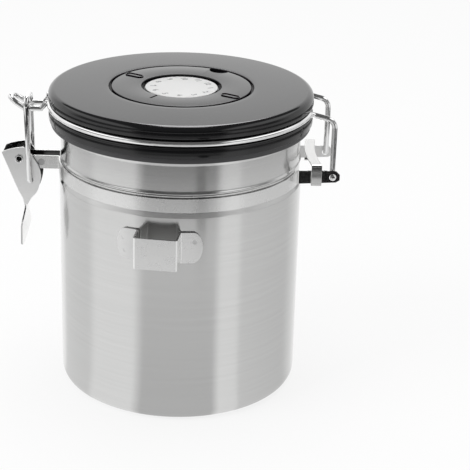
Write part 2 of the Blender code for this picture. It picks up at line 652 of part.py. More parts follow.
def wire_half(side):
    """Corners and bends from one foot to the nose's tip. side is -1 in front, 1 behind."""
    leg_angle = asin(LEG_Y / LID_WIRE_RING_RADIUS)
    nose_angle = asin(NOSE_HALF_WIDTH / LID_WIRE_RING_RADIUS)
    foot_end = HINGE_EAR_Y + STRAP_THICKNESS / 2 + LEG_FOOT_PROUD
    half = [(at_hinge(HINGE_X, side * foot_end, HINGE_Z), 0.0),
            (at_hinge(HINGE_X, side * LEG_Y, HINGE_Z), LEG_FOOT_BEND),
            (at_hinge(HINGE_X, side * LEG_Y, LEG_TOP_Z), LEG_BEND_RADIUS)]
    first = HINGE_AZIMUTH + side * leg_angle
    last = side * (pi - nose_angle)
    for k in range(LID_WIRE_ARC_STEPS + 1):
        turn = first + (last - first) * k / LID_WIRE_ARC_STEPS
        place = (LID_WIRE_RING_RADIUS * cos(turn), LID_WIRE_RING_RADIUS * sin(turn), LID_WIRE_Z)
        bend = {0: LEG_RING_BEND, LID_WIRE_ARC_STEPS: NOSE_ROOT_BEND}.get(k, 0.0)
        half.append((place, bend))
    across = side * NOSE_HALF_WIDTH
    half += [((NOSE_ROOT_X, across, LID_WIRE_Z), 0.0), ((NOSE_DIP_X, across, NOSE_LOW_Z), 0.0),
             ((NOSE_BEND_X, across, NOSE_LOW_Z), NOSE_ROOT_BEND),
             ((NOSE_TIP_X, across, NOSE_TIP_Z), NOSE_TIP_BEND)]
    return half


def lid_wire():
    """The bail: foot, leg, front half of the ring, nose, rear half of the ring, leg and foot."""
    route = wire_half(-1) + wire_half(1)[::-1]
    return tube("lid_wire", fillet([p for p, b in route], [b for p, b in route], 4), LID_WIRE_RADIUS, CHROME)


def screw_places():
    turns = [pi / 4 + 2 * pi * k / LID_SCREW_COUNT for k in range(LID_SCREW_COUNT)]
    return [(LID_SCREW_CIRCLE * cos(t), LID_SCREW_CIRCLE * sin(t)) for t in turns]


def lid_shell():
    """The lid's top: flat with a soft edge, a recess for the date ring and bosses for the screws."""
    edge = (LID_RADIUS - LID_EDGE_RADIUS, LID_TOP_Z - LID_CROWN - LID_EDGE_RADIUS)
    inside = LID_RADIUS - LID_WALL
    ceiling = LID_TOP_Z - LID_CROWN - LID_WALL
    cup = RECESS_RADIUS + RECESS_WALL
    pin_hole = HUB_PIN_RADIUS + FIT
    profile = [(pin_hole, RECESS_FLOOR_Z), (RECESS_RADIUS, RECESS_FLOOR_Z), (RECESS_RADIUS, LID_TOP_Z)]
    profile += arc(edge, LID_EDGE_RADIUS, pi / 2, 0.0, 5)
    profile += [(LID_RADIUS, GROOVE_HIGH_Z), (inside, GROOVE_HIGH_Z), (inside, ceiling),
                (cup, ceiling), (cup, RECESS_UNDERSIDE_Z), (pin_hole, RECESS_UNDERSIDE_Z)]
    shell = revolve("lid_shell", profile, BLACK, closed=True)
    bosses, holes = [], []
    for k, (x, y) in enumerate(screw_places()):
        bosses.append(cylinder("boss_%d" % k, BOSS_RADIUS, PLATE_TOP_Z + FIT, ceiling + LID_WALL / 2,
                               BLACK, place=(x, y, 0.0)))
        holes.append(cylinder("boss_hole_%d" % k, LID_SCREW_RADIUS + FIT, PLATE_TOP_Z - CUT_OVERRUN,
                              PLATE_TOP_Z + LID_SCREW_LENGTH, BLACK, place=(x, y, 0.0)))
    combine(shell, merge_meshes("lid_shell_bosses", bosses, BLACK), "UNION")
    combine(shell, merge_meshes("lid_shell_boss_holes", holes, BLACK), "DIFFERENCE")
    return shell


def lid_base():
    """The lower lid ring: wire groove, skirt over the gasket, plate and plug into the mouth."""
    wall_inside = GROOVE_FLOOR_RADIUS - LID_WALL
    edge_high = (LOWER_RING_RADIUS - LOWER_RING_EDGE, GROOVE_LOW_Z - LOWER_RING_EDGE)
    profile = [(VALVE_HOLE_RADIUS, PLATE_TOP_Z), (wall_inside, PLATE_TOP_Z),
               (wall_inside, GROOVE_HIGH_Z - FIT), (GROOVE_FLOOR_RADIUS, GROOVE_HIGH_Z - FIT),
               (GROOVE_FLOOR_RADIUS, GROOVE_LOW_Z)]
    profile += arc(edge_high, LOWER_RING_EDGE, pi / 2, 0.0, 4)
    skirt_inside = LOWER_RING_RADIUS - SKIRT_WALL
    profile += [(LOWER_RING_RADIUS, SKIRT_LOW_Z), (skirt_inside, SKIRT_LOW_Z),
                (skirt_inside, PLATE_UNDERSIDE_Z), (PLUG_RADIUS, PLATE_UNDERSIDE_Z),
                (PLUG_RADIUS, PLUG_LOW_Z), (PLUG_RADIUS - PLUG_WALL, PLUG_LOW_Z),
                (PLUG_RADIUS - PLUG_WALL, PLATE_UNDERSIDE_Z), (VALVE_HOLE_RADIUS, PLATE_UNDERSIDE_Z)]
    base = revolve("lid_base", profile, BLACK, closed=True)
    holes = [cylinder("base_hole_%d" % k, LID_SCREW_RADIUS + FIT, PLATE_UNDERSIDE_Z - CUT_OVERRUN,
                      PLATE_TOP_Z + CUT_OVERRUN, BLACK, place=(x, y, 0.0))
             for k, (x, y) in enumerate(screw_places())]
    combine(base, merge_meshes("lid_base_holes", holes, BLACK), "DIFFERENCE")
    return base


def lid_gasket():
    """A silicone ring round the plug, with a web over the can's rim and a lip outside it."""
    top = PLATE_UNDERSIDE_Z - FIT
    web_low = RIM_TOP_Z + FIT
    outer = LOWER_RING_RADIUS - SKIRT_WALL - FIT
    inner = PLUG_RADIUS + FIT
    lip_inner = outer - GASKET_LIP_WALL
    round_edge = GASKET_LIP_WALL / 4
    profile = [(inner, top), (outer, top), (outer, GASKET_LIP_LOW_Z + round_edge),
               (outer - round_edge, GASKET_LIP_LOW_Z), (lip_inner, GASKET_LIP_LOW_Z),
               (lip_inner, web_low), (inner, web_low)]
    return revolve("lid_gasket", profile, RUBBER, closed=True)


def at_azimuth(radius, azimuth):
    return (radius * cos(azimuth), radius * sin(azimuth))


def date_ring():
    """The ring that is turned by its two grip bars, with a thumb notch and an index line."""
    profile = [(RING_HOLE_RADIUS, LID_TOP_Z - RING_EDGE), (RING_HOLE_RADIUS + RING_EDGE, LID_TOP_Z),
               (DATE_RING_RADIUS - RING_EDGE, LID_TOP_Z), (DATE_RING_RADIUS, LID_TOP_Z - RING_EDGE),
               (DATE_RING_RADIUS, DATE_RING_LOW_Z), (RING_LEDGE_RADIUS, DATE_RING_LOW_Z),
               (RING_LEDGE_RADIUS, LEDGE_TOP_Z), (RING_HOLE_RADIUS, LEDGE_TOP_Z)]
    ring = revolve("date_ring", profile, BLACK, closed=True)
    end = GRIP_WIDTH / 2
    straight = GRIP_LENGTH / 2 - end
    outline = arc((straight, 0.0), end, -pi / 2, pi / 2, 5) + arc((-straight, 0.0), end, pi / 2, 3 * pi / 2, 5)
    grips = []
    for k, azimuth in enumerate(GRIP_AZIMUTHS):
        x, y = at_azimuth(GRIP_OUTER_RADIUS - GRIP_LENGTH / 2, azimuth)
        bar = prism("grip_%d" % k, outline, LID_TOP_Z - GRIP_HEIGHT, LID_TOP_Z + GRIP_HEIGHT, BLACK, "XY")
        bar.data.transform(Matrix.Translation((x, y, 0.0)) @ Matrix.Rotation(azimuth, 4, "Z"))
        grips.append(bar)
    combine(ring, merge_meshes("date_ring_grips", grips, BLACK), "UNION")
    x, y = at_azimuth(DATE_RING_RADIUS, NOTCH_AZIMUTH)
    notch = cylinder("date_ring_notch", NOTCH_RADIUS, LID_TOP_Z - NOTCH_DEPTH, LID_TOP_Z + CUT_OVERRUN,
                     BLACK, place=(x, y, 0.0))
    combine(ring, notch, "DIFFERENCE")
    x, y = at_azimuth(RING_HOLE_RADIUS + INDEX_LENGTH / 2, INDEX_AZIMUTH)
    line = block("date_ring_index", (INDEX_LENGTH, INDEX_WIDTH, 2 * INDEX_DEPTH), (x, y, LID_TOP_Z),
                 BLACK, INDEX_AZIMUTH)
    combine(ring, line, "DIFFERENCE")
    return ring


def month_dial():
    top = DIAL_LOW_Z + DIAL_THICKNESS
    return revolve("month_dial", [(0.0, top), (DIAL_RADIUS, top), (DIAL_RADIUS, DIAL_LOW_Z), (0.0, DIAL_LOW_Z)],
                   WHITE, MIDDLE_STEPS)


def dial_hub():
    """Flanged pin: its flange keeps the date ring down, and a screw from below pulls it in."""
    top = HUB_FLANGE_LOW_Z + HUB_FLANGE_THICKNESS
    disc = RING_LEDGE_RADIUS - FIT
    bottom = RECESS_UNDERSIDE_Z
    bore = HUB_SCREW_RADIUS + FIT
    ceiling = bottom + HUB_SCREW_LENGTH + FIT
    profile = [(0.0, top), (HUB_FLANGE_RADIUS, top), (HUB_FLANGE_RADIUS, HUB_FLANGE_LOW_Z),
               (disc, HUB_FLANGE_LOW_Z), (disc, DATE_RING_LOW_Z), (HUB_PIN_RADIUS, DATE_RING_LOW_Z),
               (HUB_PIN_RADIUS, bottom), (bore, bottom), (bore, ceiling), (0.0, ceiling)]
    return revolve("dial_hub", profile, BLACK, MIDDLE_STEPS)


def screw_solid(name, shank, head, head_height, length, high, place):
    """A screw that points up: shank above, round head below with a socket in its underside."""
    low = high - length
    bottom = low - head_height
    profile = [(0.0, high), (shank, high), (shank, low), (head, low), (head, bottom + head_height / 3),
               (head - head_height / 3, bottom), (SOCKET_RADIUS, bottom),
               (SOCKET_RADIUS, bottom + SOCKET_DEPTH), (0.0, bottom + SOCKET_DEPTH)]
    bm = bmesh.new()
    verts = [bm.verts.new((r, 0.0, z)) for r, z in profile]
    edges = [bm.edges.new(pair) for pair in zip(verts, verts[1:])]
    bmesh.ops.spin(bm, geom=verts + edges, axis=(0, 0, 1), cent=(0, 0, 0), angle=2 * pi, steps=SCREW_STEPS)
    bmesh.ops.remove_doubles(bm, verts=bm.verts, dist=MERGE_DISTANCE)
    bmesh.ops.translate(bm, verts=bm.verts, vec=(*place, 0.0))
    return mesh_object(name, bm, SCREW_STEEL)


def hub_screw():
    head_top = RECESS_UNDERSIDE_Z - FIT
    return screw_solid("hub_screw", HUB_SCREW_RADIUS, HUB_SCREW_HEAD_RADIUS, HUB_SCREW_HEAD,
                       HUB_SCREW_LENGTH, head_top + HUB_SCREW_LENGTH, (0.0, 0.0))


def lid_screws():
    head_top = PLATE_UNDERSIDE_Z - FIT
    for k, place in enumerate(screw_places()):
        screw_solid("lid_screw_%d" % (k + 1), LID_SCREW_RADIUS, LID_SCREW_HEAD_RADIUS, LID_SCREW_HEAD,
                    LID_SCREW_LENGTH, head_top + LID_SCREW_LENGTH, place)


def valve_seat():
    """The vent seat: a flange under the lid's plate, a neck up through it, vents and a stem hole."""
    neck = VALVE_HOLE_RADIUS - FIT
    stem_hole = VALVE_STEM_RADIUS + FIT
    profile = [(stem_hole, VALVE_SEAT_TOP_Z), (neck, VALVE_SEAT_TOP_Z), (neck, VALVE_FLANGE_TOP_Z),
               (VALVE_FLANGE_RADIUS, VALVE_FLANGE_TOP_Z), (VALVE_FLANGE_RADIUS, VALVE_FLANGE_LOW_Z),
               (stem_hole, VALVE_FLANGE_LOW_Z)]
    seat = revolve("valve_seat", profile, BLACK, MIDDLE_STEPS, closed=True)
    vents = []
    for k in range(VENT_COUNT):
        x, y = at_azimuth(VENT_CIRCLE, 2 * pi * k / VENT_COUNT)
        vents.append(cylinder("vent_%d" % k, VENT_RADIUS, VALVE_FLANGE_LOW_Z - CUT_OVERRUN,
                              VALVE_SEAT_TOP_Z + CUT_OVERRUN, BLACK, place=(x, y, 0.0), steps=VENT_STEPS))
    combine(seat, merge_meshes("valve_seat_vents", vents, BLACK), "DIFFERENCE")
    return seat


def valve_disc():
    """The silicone valve: a thin disc that covers the vents, a stem and a bulb that keeps it in."""
    low = VALVE_SEAT_TOP_Z + FIT
    top = low + VALVE_DISC_THICKNESS
    profile = [(0.0, top), (VALVE_DISC_RADIUS, low + VALVE_DISC_THICKNESS / 2), (VALVE_DISC_RADIUS, low),
               (VALVE_STEM_RADIUS, low), (VALVE_STEM_RADIUS, BULB_TOP_Z), (VALVE_BULB_RADIUS, BULB_TOP_Z),
               (VALVE_BULB_RADIUS, BULB_TOP_Z - VALVE_BULB_THICKNESS), (0.0, BULB_TOP_Z - VALVE_BULB_THICKNESS)]
    return revolve("valve_disc", profile, CLEAR_SILICONE, SMALL_STEPS)


def valve_filter():
    radius = COVER_RADIUS - COVER_WALL - FIT
    low = FILTER_TOP_Z - FILTER_THICKNESS
    return revolve("valve_filter", [(0.0, FILTER_TOP_Z), (radius, FILTER_TOP_Z), (radius, low), (0.0, low)],
                   PAPER, MIDDLE_STEPS)


def valve_cover():
    """The slotted cap that holds the filter under the valve."""
    rim = VALVE_FLANGE_LOW_Z - FIT
    inner = COVER_RADIUS - COVER_WALL
    low = COVER_FLOOR_Z - COVER_WALL
    profile = [(0.0, COVER_FLOOR_Z), (inner, COVER_FLOOR_Z), (inner, rim), (COVER_RADIUS, rim),
               (COVER_RADIUS, low + COVER_WALL / 2), (COVER_RADIUS - COVER_WALL / 2, low), (0.0, low)]
    cover = revolve("valve_cover", profile, BLACK, MIDDLE_STEPS)
    slots = []
    middle = (COVER_SLOT_INNER + COVER_SLOT_OUTER) / 2
    for k in range(COVER_SLOT_COUNT):
        azimuth = 2 * pi * k / COVER_SLOT_COUNT
        x, y = at_azimuth(middle, azimuth)
        size = (COVER_SLOT_OUTER - COVER_SLOT_INNER, COVER_SLOT_WIDTH, COVER_WALL + CUT_OVERRUN)
        slots.append(block("slot_%d" % k, size, (x, y, COVER_FLOOR_Z - COVER_WALL / 2), BLACK, azimuth))
    combine(cover, merge_meshes("valve_cover_slots", slots, BLACK), "DIFFERENCE")
    return cover


def scoop_holder():
    """The bracket: a box open above and below, with two round-ended tabs that follow the can."""
    seat = BODY_RADIUS + FIT + BRACKET_SHEET / 2
    wall = BRACKET_HALF_WIDTH - BRACKET_SHEET / 2
    root_angle = asin(wall / seat)
    front = BODY_RADIUS + BRACKET_DEPTH - BRACKET_SHEET / 2
    tab_angle = root_angle + TAB_LENGTH / seat
    corners, radii = [], []
    for k in range(TAB_STEPS + TAB_END_STEPS + 1):
        if k <= TAB_END_STEPS:
            arc_left = TAB_END * (1 - cos(pi / 2 * k / TAB_END_STEPS))
        else:
            arc_left = TAB_END + (TAB_LENGTH - TAB_END) * (k - TAB_END_STEPS) / TAB_STEPS
        angle = tab_angle - arc_left / seat
        corners.append((-seat * sin(angle), seat * cos(angle), 0.0))
        radii.append(0.0)
    radii[-1] = BRACKET_BEND
    corners.append((-wall, front, 0.0))
    radii.append(BRACKET_BEND)
    mirrored = [(-x, y, z) for x, y, z in reversed(corners)]
    route = fillet(corners + mirrored, radii + radii[::-1], 3)
    path = [Vector((p.x, p.y)) for p in route]
    middle = BRACKET_LOW_Z + BRACKET_HEIGHT / 2
    spans = []
    for p in path:
        half = BRACKET_HEIGHT / 2
        arc_left = (tab_angle - abs(atan2(p.x, p.y))) * seat
        if p.length < seat + BRACKET_SHEET and arc_left < TAB_END:
            fraction = min(max(arc_left / TAB_END, 0.0), 1.0)
            half *= max(sqrt(1 - (1 - fraction) ** 2), BRACKET_SHEET / BRACKET_HEIGHT)
        spans.append((middle - half, middle + half))
    turn = Matrix.Rotation(BRACKET_AZIMUTH - pi / 2, 3, "Z")
    return strip("scoop_holder", path, BRACKET_SHEET, spans, lambda p, z: turn @ Vector((p.x, p.y, z)), STEEL)


canister_body()
strap_half("front_band", -1)
strap_half("rear_band", 1)
hinge_clip()
latch_rivet()
latch_lever()
draw_link()
lid_wire()
lid_shell()
lid_base()
lid_gasket()
date_ring()
month_dial()
dial_hub()
hub_screw()
lid_screws()
valve_seat()
valve_disc()
valve_filter()
valve_cover()
scoop_holder()
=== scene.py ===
"""Looks of the coffee canister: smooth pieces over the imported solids, materials, light and camera."""

from math import asin, atan2, cos, pi, radians, sin, sqrt, tan

import bmesh
import bpy
from mathutils import Matrix, Vector


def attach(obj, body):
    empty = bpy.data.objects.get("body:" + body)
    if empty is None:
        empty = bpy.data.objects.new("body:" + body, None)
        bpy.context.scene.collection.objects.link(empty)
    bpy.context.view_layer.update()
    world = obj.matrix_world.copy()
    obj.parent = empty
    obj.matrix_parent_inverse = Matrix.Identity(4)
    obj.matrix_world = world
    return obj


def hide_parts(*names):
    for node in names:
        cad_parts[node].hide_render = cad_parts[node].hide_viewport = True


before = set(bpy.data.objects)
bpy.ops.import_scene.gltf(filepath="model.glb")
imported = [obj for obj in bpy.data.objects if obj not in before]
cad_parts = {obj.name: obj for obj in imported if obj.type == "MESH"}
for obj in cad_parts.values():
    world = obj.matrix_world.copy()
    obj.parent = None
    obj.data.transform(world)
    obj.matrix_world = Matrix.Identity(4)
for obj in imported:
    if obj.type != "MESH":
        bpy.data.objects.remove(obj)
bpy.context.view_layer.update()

# Clearances and faceting
FIT = 0.0003
ROUND_STEPS = 224
MIDDLE_STEPS = 96
SMALL_STEPS = 40
SMOOTH_ANGLE = radians(32.0)
CORNER_ANGLE = radians(40.0)
STRAIGHT_ANGLE = radians(1.0)
MERGE_DISTANCE = 0.000002
EASE_SHARE = 0.45
MITRE_LIMIT = 0.5
FACING = 0.5
SQUARE_ON = 0.7
CUT_OVERRUN = 0.0020
WIRE_SIDES = 28
WIRE_END_SHARE = 0.3
WIRE_BEND_STEPS = 12
SHEET_BEND_STEPS = 8

# Can
BODY_RADIUS = 0.0625
BODY_WALL = 0.0008
BASE_CORNER_RADIUS = 0.0056
NECK_RADIUS = 0.0616
SHOULDER_LOW_Z = 0.1112
SHOULDER_HIGH_Z = 0.1130
BEAD_Z = 0.1230
BEAD_HALF_HEIGHT = 0.0012
BEAD_PROUD = 0.0005
BEAD_STEPS = 12
BASE_INSIDE_STEPS = 10
BASE_CORNER_STEPS = 16
RIM_CURL_STEPS = 20
PROFILE_HOLD = 0.0004
FLARE_LOW_Z = 0.1375
NECK_INNER_HIGH_Z = 0.1396
RIM_TOP_Z = 0.1423
RIM_CURL_RADIUS = 0.0013
RIM_CURL_CENTRE_RADIUS = 0.0629
RIM_CURL_END = radians(-126.0)

# Strap round the neck
STRAP_THICKNESS = 0.0008
STRAP_HEIGHT = 0.0070
STRAP_LOW_Z = 0.1139
STRAP_BEND_RADIUS = 0.0012
STRAP_EDGE = 0.00016
STRAP_ARC_STEPS = 110

# Latch
LATCH_PIVOT_X = -0.0829
LATCH_PIVOT_Z = 0.1192
LATCH_EAR_Y = 0.0043
LATCH_EYE_RADIUS = 0.0037
LATCH_EYE_BLEND = 0.0050
EYE_STEPS = 24
EYE_OPEN_STEPS = 3
EYE_END_SHARE = 1 / 8
RIVET_TUBE_RADIUS = 0.0015
RIVET_BORE_RADIUS = 0.0012
RIVET_HEAD_RADIUS = 0.0021
RIVET_HEAD_THICKNESS = 0.0004
RIVET_FLARE_RADIUS = 0.0016
RIVET_EDGE = 0.00012
BORE_FACE_SHARE = 1.02
LINK_PIVOT_OFFSET_X = 0.0054
LINK_PIVOT_OFFSET_Z = -0.0115
LEVER_SHEET = 0.0008
LEVER_HALF_WIDTH = 0.0060
LEVER_EDGE = 0.00014
CHEEK_LENGTH = 0.0310
CHEEK_WIDTH = 0.0200
TAIL_LENGTH = 0.0246
TAIL_HALF_WIDTH = 0.0060
TAIL_NECK_HALF_WIDTH = 0.0030
TAIL_TIP_HALF_WIDTH = 0.0008
TAIL_SWAY = 0.0034
TAIL_TWIST = radians(14.0)
LINK_WIRE_RADIUS = 0.0013
LINK_HALF_WIDTH = 0.0083
LINK_HEIGHT = 0.0439
LINK_LEAN = -0.0008
LINK_BOW_RADIUS = 0.0046
LINK_FOOT_BEND = 0.0018
LINK_FOOT_INSIDE = 0.0010

# Hinge, set out along and across a line at its own azimuth
HINGE_AZIMUTH = radians(2.9)
HINGE_TURN = Matrix.Rotation(HINGE_AZIMUTH, 3, "Z")
HINGE_X = 0.0772
HINGE_EAR_Y = 0.0198
HINGE_EAR_END_X = 0.0808
HINGE_EAR_CHAMFER = 0.0020
HINGE_EAR_TAPER = 0.0008
CLIP_X = 0.0662
CLIP_WIDTH = 0.0053
CLIP_HEADROOM = 0.0025
CLIP_THICKNESS = 0.0008
CLIP_BOW = 0.0016
CLIP_HOOK = 0.0022
CLIP_BEND_RADIUS = 0.0008
CLIP_STEPS = 28
CLIP_BEND_STEPS = 6
CLIP_EDGE = 0.00018

# Lid wire
LID_WIRE_RADIUS = 0.00145
LID_WIRE_RING_RADIUS = 0.0668
LID_WIRE_Z = 0.1503
LID_WIRE_ARC_STEPS = 100
LEG_BEND_STEPS = 3
NOSE_BEND_STEPS = 2
LEG_TOP_Z = 0.1469
LEG_BEND_RADIUS = 0.0050
LEG_RING_BEND = 0.0040
LEG_FOOT_BEND = 0.0018
LEG_FOOT_PROUD = 0.0014
NOSE_HALF_WIDTH = 0.0052
NOSE_ROOT_X = -0.0678
NOSE_DIP_X = -0.0710
NOSE_BEND_X = -0.0795
NOSE_TIP_X = -0.0869
NOSE_LOW_Z = 0.1463
NOSE_TIP_Z = 0.1514
NOSE_ROOT_BEND = 0.0030
NOSE_TIP_BEND = 0.0048

# Lid
LID_RADIUS = 0.0675
LID_TOP_Z = 0.1590
LID_EDGE_RADIUS = 0.0034
LID_CROWN = 0.0004
LID_WALL = 0.0020
CROWN_STEPS = 10
LID_EDGE_STEPS = 18
SHELL_FOOT = 0.0003
FOOT_STEPS = 4
HUB_HOLE_RADIUS = 0.0043
GROOVE_HIGH_Z = 0.1525
GROOVE_LOW_Z = 0.1483
GROOVE_FLOOR_RADIUS = 0.0650
LOWER_RING_RADIUS = 0.0674
LOWER_RING_EDGE = 0.0012
LOWER_RING_STEPS = 12
BASE_FOOT = 0.00025
RING_SEAM_AZIMUTH = radians(-24.0)
RING_SEAM_WIDTH = 0.00030
RING_SEAM_DEPTH = 0.00015
SKIRT_LOW_Z = 0.1429
SKIRT_WALL = 0.0007
PLATE_UNDERSIDE_Z = 0.1441
PLUG_RADIUS = 0.0580
PLUG_WALL = 0.0020
PLUG_LOW_Z = 0.1399
GASKET_LIP_LOW_Z = 0.1401
GASKET_LIP_WALL = 0.0010
GASKET_EDGE = 0.00035

# Date ring and dial
RECESS_RADIUS = 0.03695
RECESS_FLOOR_Z = 0.1556
RECESS_WALL = 0.0016
RECESS_LIP = 0.0004
RING_GROOVE = 0.0015
RING_HOLE_RADIUS = 0.02045
RING_LEDGE_RADIUS = 0.0170
RING_LEDGE_THICKNESS = 0.0006
RING_EDGE = 0.0003
RING_CUT_EDGE = 0.00012
RING_EDGE_STEPS = 5
GRIP_END_STEPS = 14
GRIP_LENGTH = 0.0106
GRIP_WIDTH = 0.0042
GRIP_HEIGHT = 0.0005
GRIP_OUTER_RADIUS = 0.0350
GRIP_RIM = 0.0004
GRIP_DISH_RISE = 0.0001
GRIP_AZIMUTHS = (radians(147.5), radians(-32.5))
NOTCH_AZIMUTH = radians(57.5)
NOTCH_RADIUS = 0.0056
NOTCH_DEPTH = 0.0016
INDEX_AZIMUTH = radians(-122.5)
INDEX_LENGTH = 0.0065
INDEX_WIDTH = 0.0011
INDEX_DEPTH = 0.0006
DIAL_RADIUS = 0.0184
DIAL_THICKNESS = 0.0005
DIAL_EDGE = 0.00012
HUB_FLANGE_THICKNESS = 0.0007
VALVE_HOLE_RADIUS = 0.0170

# Screws that join the lid's halves
LID_SCREW_COUNT = 4
LID_SCREW_CIRCLE = 0.0500
LID_SCREW_RADIUS = 0.0014

# Bracket for the scoop
BRACKET_AZIMUTH = radians(-97.0)
BRACKET_SHEET = 0.0009
BRACKET_LOW_Z = 0.0880
BRACKET_HEIGHT = 0.0160
BRACKET_HALF_WIDTH = 0.0109
BRACKET_DEPTH = 0.0112
BRACKET_BEND = 0.0009
BRACKET_EDGE = 0.00022
TAB_LENGTH = 0.0110
TAB_END = 0.0048
TAB_STEPS = 16
TAB_END_STEPS = 20
# Weld marks on the tabs: distance along the can from the bracket's middle, and up from its middle
TAB_MARKS = ((-0.0176, 0.0030), (0.0178, 0.0032), (0.0170, -0.0034))

# Spot weld marks
TAB_WELD_RADIUS = 0.0011
EAR_WELD_RADIUS = 0.0018
WELD_DEPTH = 0.00012
EAR_MARK_X = -0.0717
EAR_MARK_Z = 0.1175
HINGE_EAR_START_X = 0.0605

# Sizes that follow from those above
STRAP_HIGH_Z = STRAP_LOW_Z + STRAP_HEIGHT
STRAP_RADIUS = NECK_RADIUS + FIT + STRAP_THICKNESS / 2
HINGE_Z = STRAP_LOW_Z + STRAP_HEIGHT / 2
LEG_Y = HINGE_EAR_Y - STRAP_THICKNESS / 2 - FIT - LID_WIRE_RADIUS
LINK_PIVOT_X = LATCH_PIVOT_X + LINK_PIVOT_OFFSET_X
LINK_PIVOT_Z = LATCH_PIVOT_Z + LINK_PIVOT_OFFSET_Z
DATE_RING_RADIUS = RECESS_RADIUS - RING_GROOVE
DATE_RING_LOW_Z = RECESS_FLOOR_Z + FIT
LEDGE_TOP_Z = DATE_RING_LOW_Z + RING_LEDGE_THICKNESS
HUB_FLANGE_LOW_Z = LEDGE_TOP_Z + FIT
DIAL_LOW_Z = HUB_FLANGE_LOW_Z + HUB_FLANGE_THICKNESS + FIT
DIAL_TOP_Z = DIAL_LOW_Z + DIAL_THICKNESS
RECESS_UNDERSIDE_Z = RECESS_FLOOR_Z - LID_WALL
PLATE_TOP_Z = PLATE_UNDERSIDE_Z + LID_WALL


# Materials
NOISE_SPAN = (0.3, 0.7)


class Tree:
    """Short calls that add and join shader nodes. A kind is given without its first word, ShaderNode."""

    def __init__(self, node_tree):
        self.tree = node_tree

    def add(self, kind, values=None, **settings):
        node = self.tree.nodes.new("ShaderNode" + kind)
        for key, value in settings.items():
            setattr(node, key, value)
        self.fill(node, values or {})
        return node

    def fill(self, node, values):
        """Sets a node's sockets to plain values, or links them to another node's output."""
        for key, value in values.items():
            if isinstance(value, bpy.types.NodeSocket):
                self.tree.links.new(value, node.inputs[key])
            else:
                node.inputs[key].default_value = value

    def math(self, operation, a, b=0.0, c=0.0):
        return self.add("Math", {0: a, 1: b, 2: c}, operation=operation).outputs[0]

    def remap(self, value, low, high, to_low=0.0, to_high=1.0):
        return self.add("MapRange", {"Value": value, "From Min": low, "From Max": high,
                                     "To Min": to_low, "To Max": to_high}).outputs[0]

    def ramp(self, value, stops):
        node = self.add("ValToRGB", {0: value})
        elements = node.color_ramp.elements
        elements[0].position = stops[0][0]
        elements[1].position = stops[-1][0]
        for place, _ in stops[1:-1]:
            elements.new(place)
        for element, (_, tone) in zip(elements, stops):
            element.color = (tone, tone, tone, 1.0) if isinstance(tone, float) else (*tone, 1.0)
        return node.outputs[0]

    def noise(self, vector, scale, detail=2.0, roughness=0.5):
        return self.add("TexNoise", {"Vector": vector, "Scale": scale, "Detail": detail,
                                     "Roughness": roughness}).outputs[0]

    def stretched(self, scale=(1.0, 1.0, 1.0)):
        """The object's own coordinates, scaled by axis."""
        place = self.add("TexCoord").outputs["Object"]
        return self.add("Mapping", {"Vector": place, "Scale": scale}).outputs[0]

    def vary(self, shader, gloss, low, high, height, strength, distance):
        """One pattern varies the roughness from low to high, and one the surface's height."""
        bump = self.add("Bump", {"Height": height, "Strength": strength, "Distance": distance})
        roughness = self.remap(gloss, *NOISE_SPAN, low, high)
        self.fill(shader, {"Roughness": roughness, "Normal": bump.outputs[0]})

    def blend(self, share, low, high):
        """A tone between two others by a share."""
        return self.add("Mix", {0: share, 2: low, 3: high}, data_type="FLOAT").outputs[0]

    def glow(self, color, strength=1.0, kind="Emission"):
        return self.add(kind, {"Color": color, "Strength": strength}).outputs[0]

    def mix(self, share, first, second):
        return self.add("MixShader", {0: share, 1: first, 2: second}).outputs[0]

    def by_ray(self, plain, mirrored, shown):
        """One look for shiny and clear surfaces, one for the camera and a plain one for other rays."""
        path = self.add("LightPath").outputs
        shine = self.math("MAXIMUM", path["Is Glossy Ray"], path["Is Transmission Ray"])
        return self.mix(path["Is Camera Ray"], self.mix(shine, plain, mirrored), shown)


def new_material(name, color, roughness, metallic=0.0):
    material = bpy.data.materials.new(name)
    material.use_nodes = True
    tree = Tree(material.node_tree)
    shader = material.node_tree.nodes["Principled BSDF"]
    tree.fill(shader, {"Base Color": (*color, 1.0), "Roughness": roughness, "Metallic": metallic})
    return material, tree, shader


def brushed_steel():
    """Satin steel with fine lines that run round the can."""
    material, tree, shader = new_material("brushed_steel_fine", (0.66, 0.66, 0.655), 0.30, 1.0)
    fine = tree.noise(tree.stretched((16.0, 16.0, 3600.0)), 1.0, 2.0, 0.6)
    broad = tree.noise(tree.stretched((9.0, 9.0, 560.0)), 1.0, 2.0, 0.5)
    tone = tree.math("MULTIPLY_ADD", broad, 0.25, tree.math("MULTIPLY", fine, 0.75))
    color = tree.ramp(tone, [(0.30, (0.635, 0.635, 0.63)), (0.70, (0.685, 0.685, 0.68))])
    tangent = tree.add("Tangent", direction_type="RADIAL", axis="Z")
    tree.vary(shader, fine, 0.15, 0.19, fine, 0.12, 0.00003)
    tree.fill(shader, {"Base Color": color, "Anisotropic": 0.60, "Anisotropic Rotation": 0.25,
                       "Tangent": tangent.outputs[0]})
    return material


def sheet_steel(name, tone, roughness, warmth=0.005):
    """Bright rolled sheet with faint handling marks."""
    material, tree, shader = new_material(name, (tone, tone, tone - warmth), roughness, 1.0)
    place = tree.stretched()
    cloud = tree.noise(place, 260.0, 3.0, 0.6)
    grain = tree.noise(place, 2600.0, 2.0, 0.5)
    worn = tree.math("MULTIPLY_ADD", grain, 0.35, tree.math("MULTIPLY", cloud, 0.65))
    tree.vary(shader, worn, roughness * 0.92, roughness * 1.10, cloud, 0.012, 0.00006)
    return material


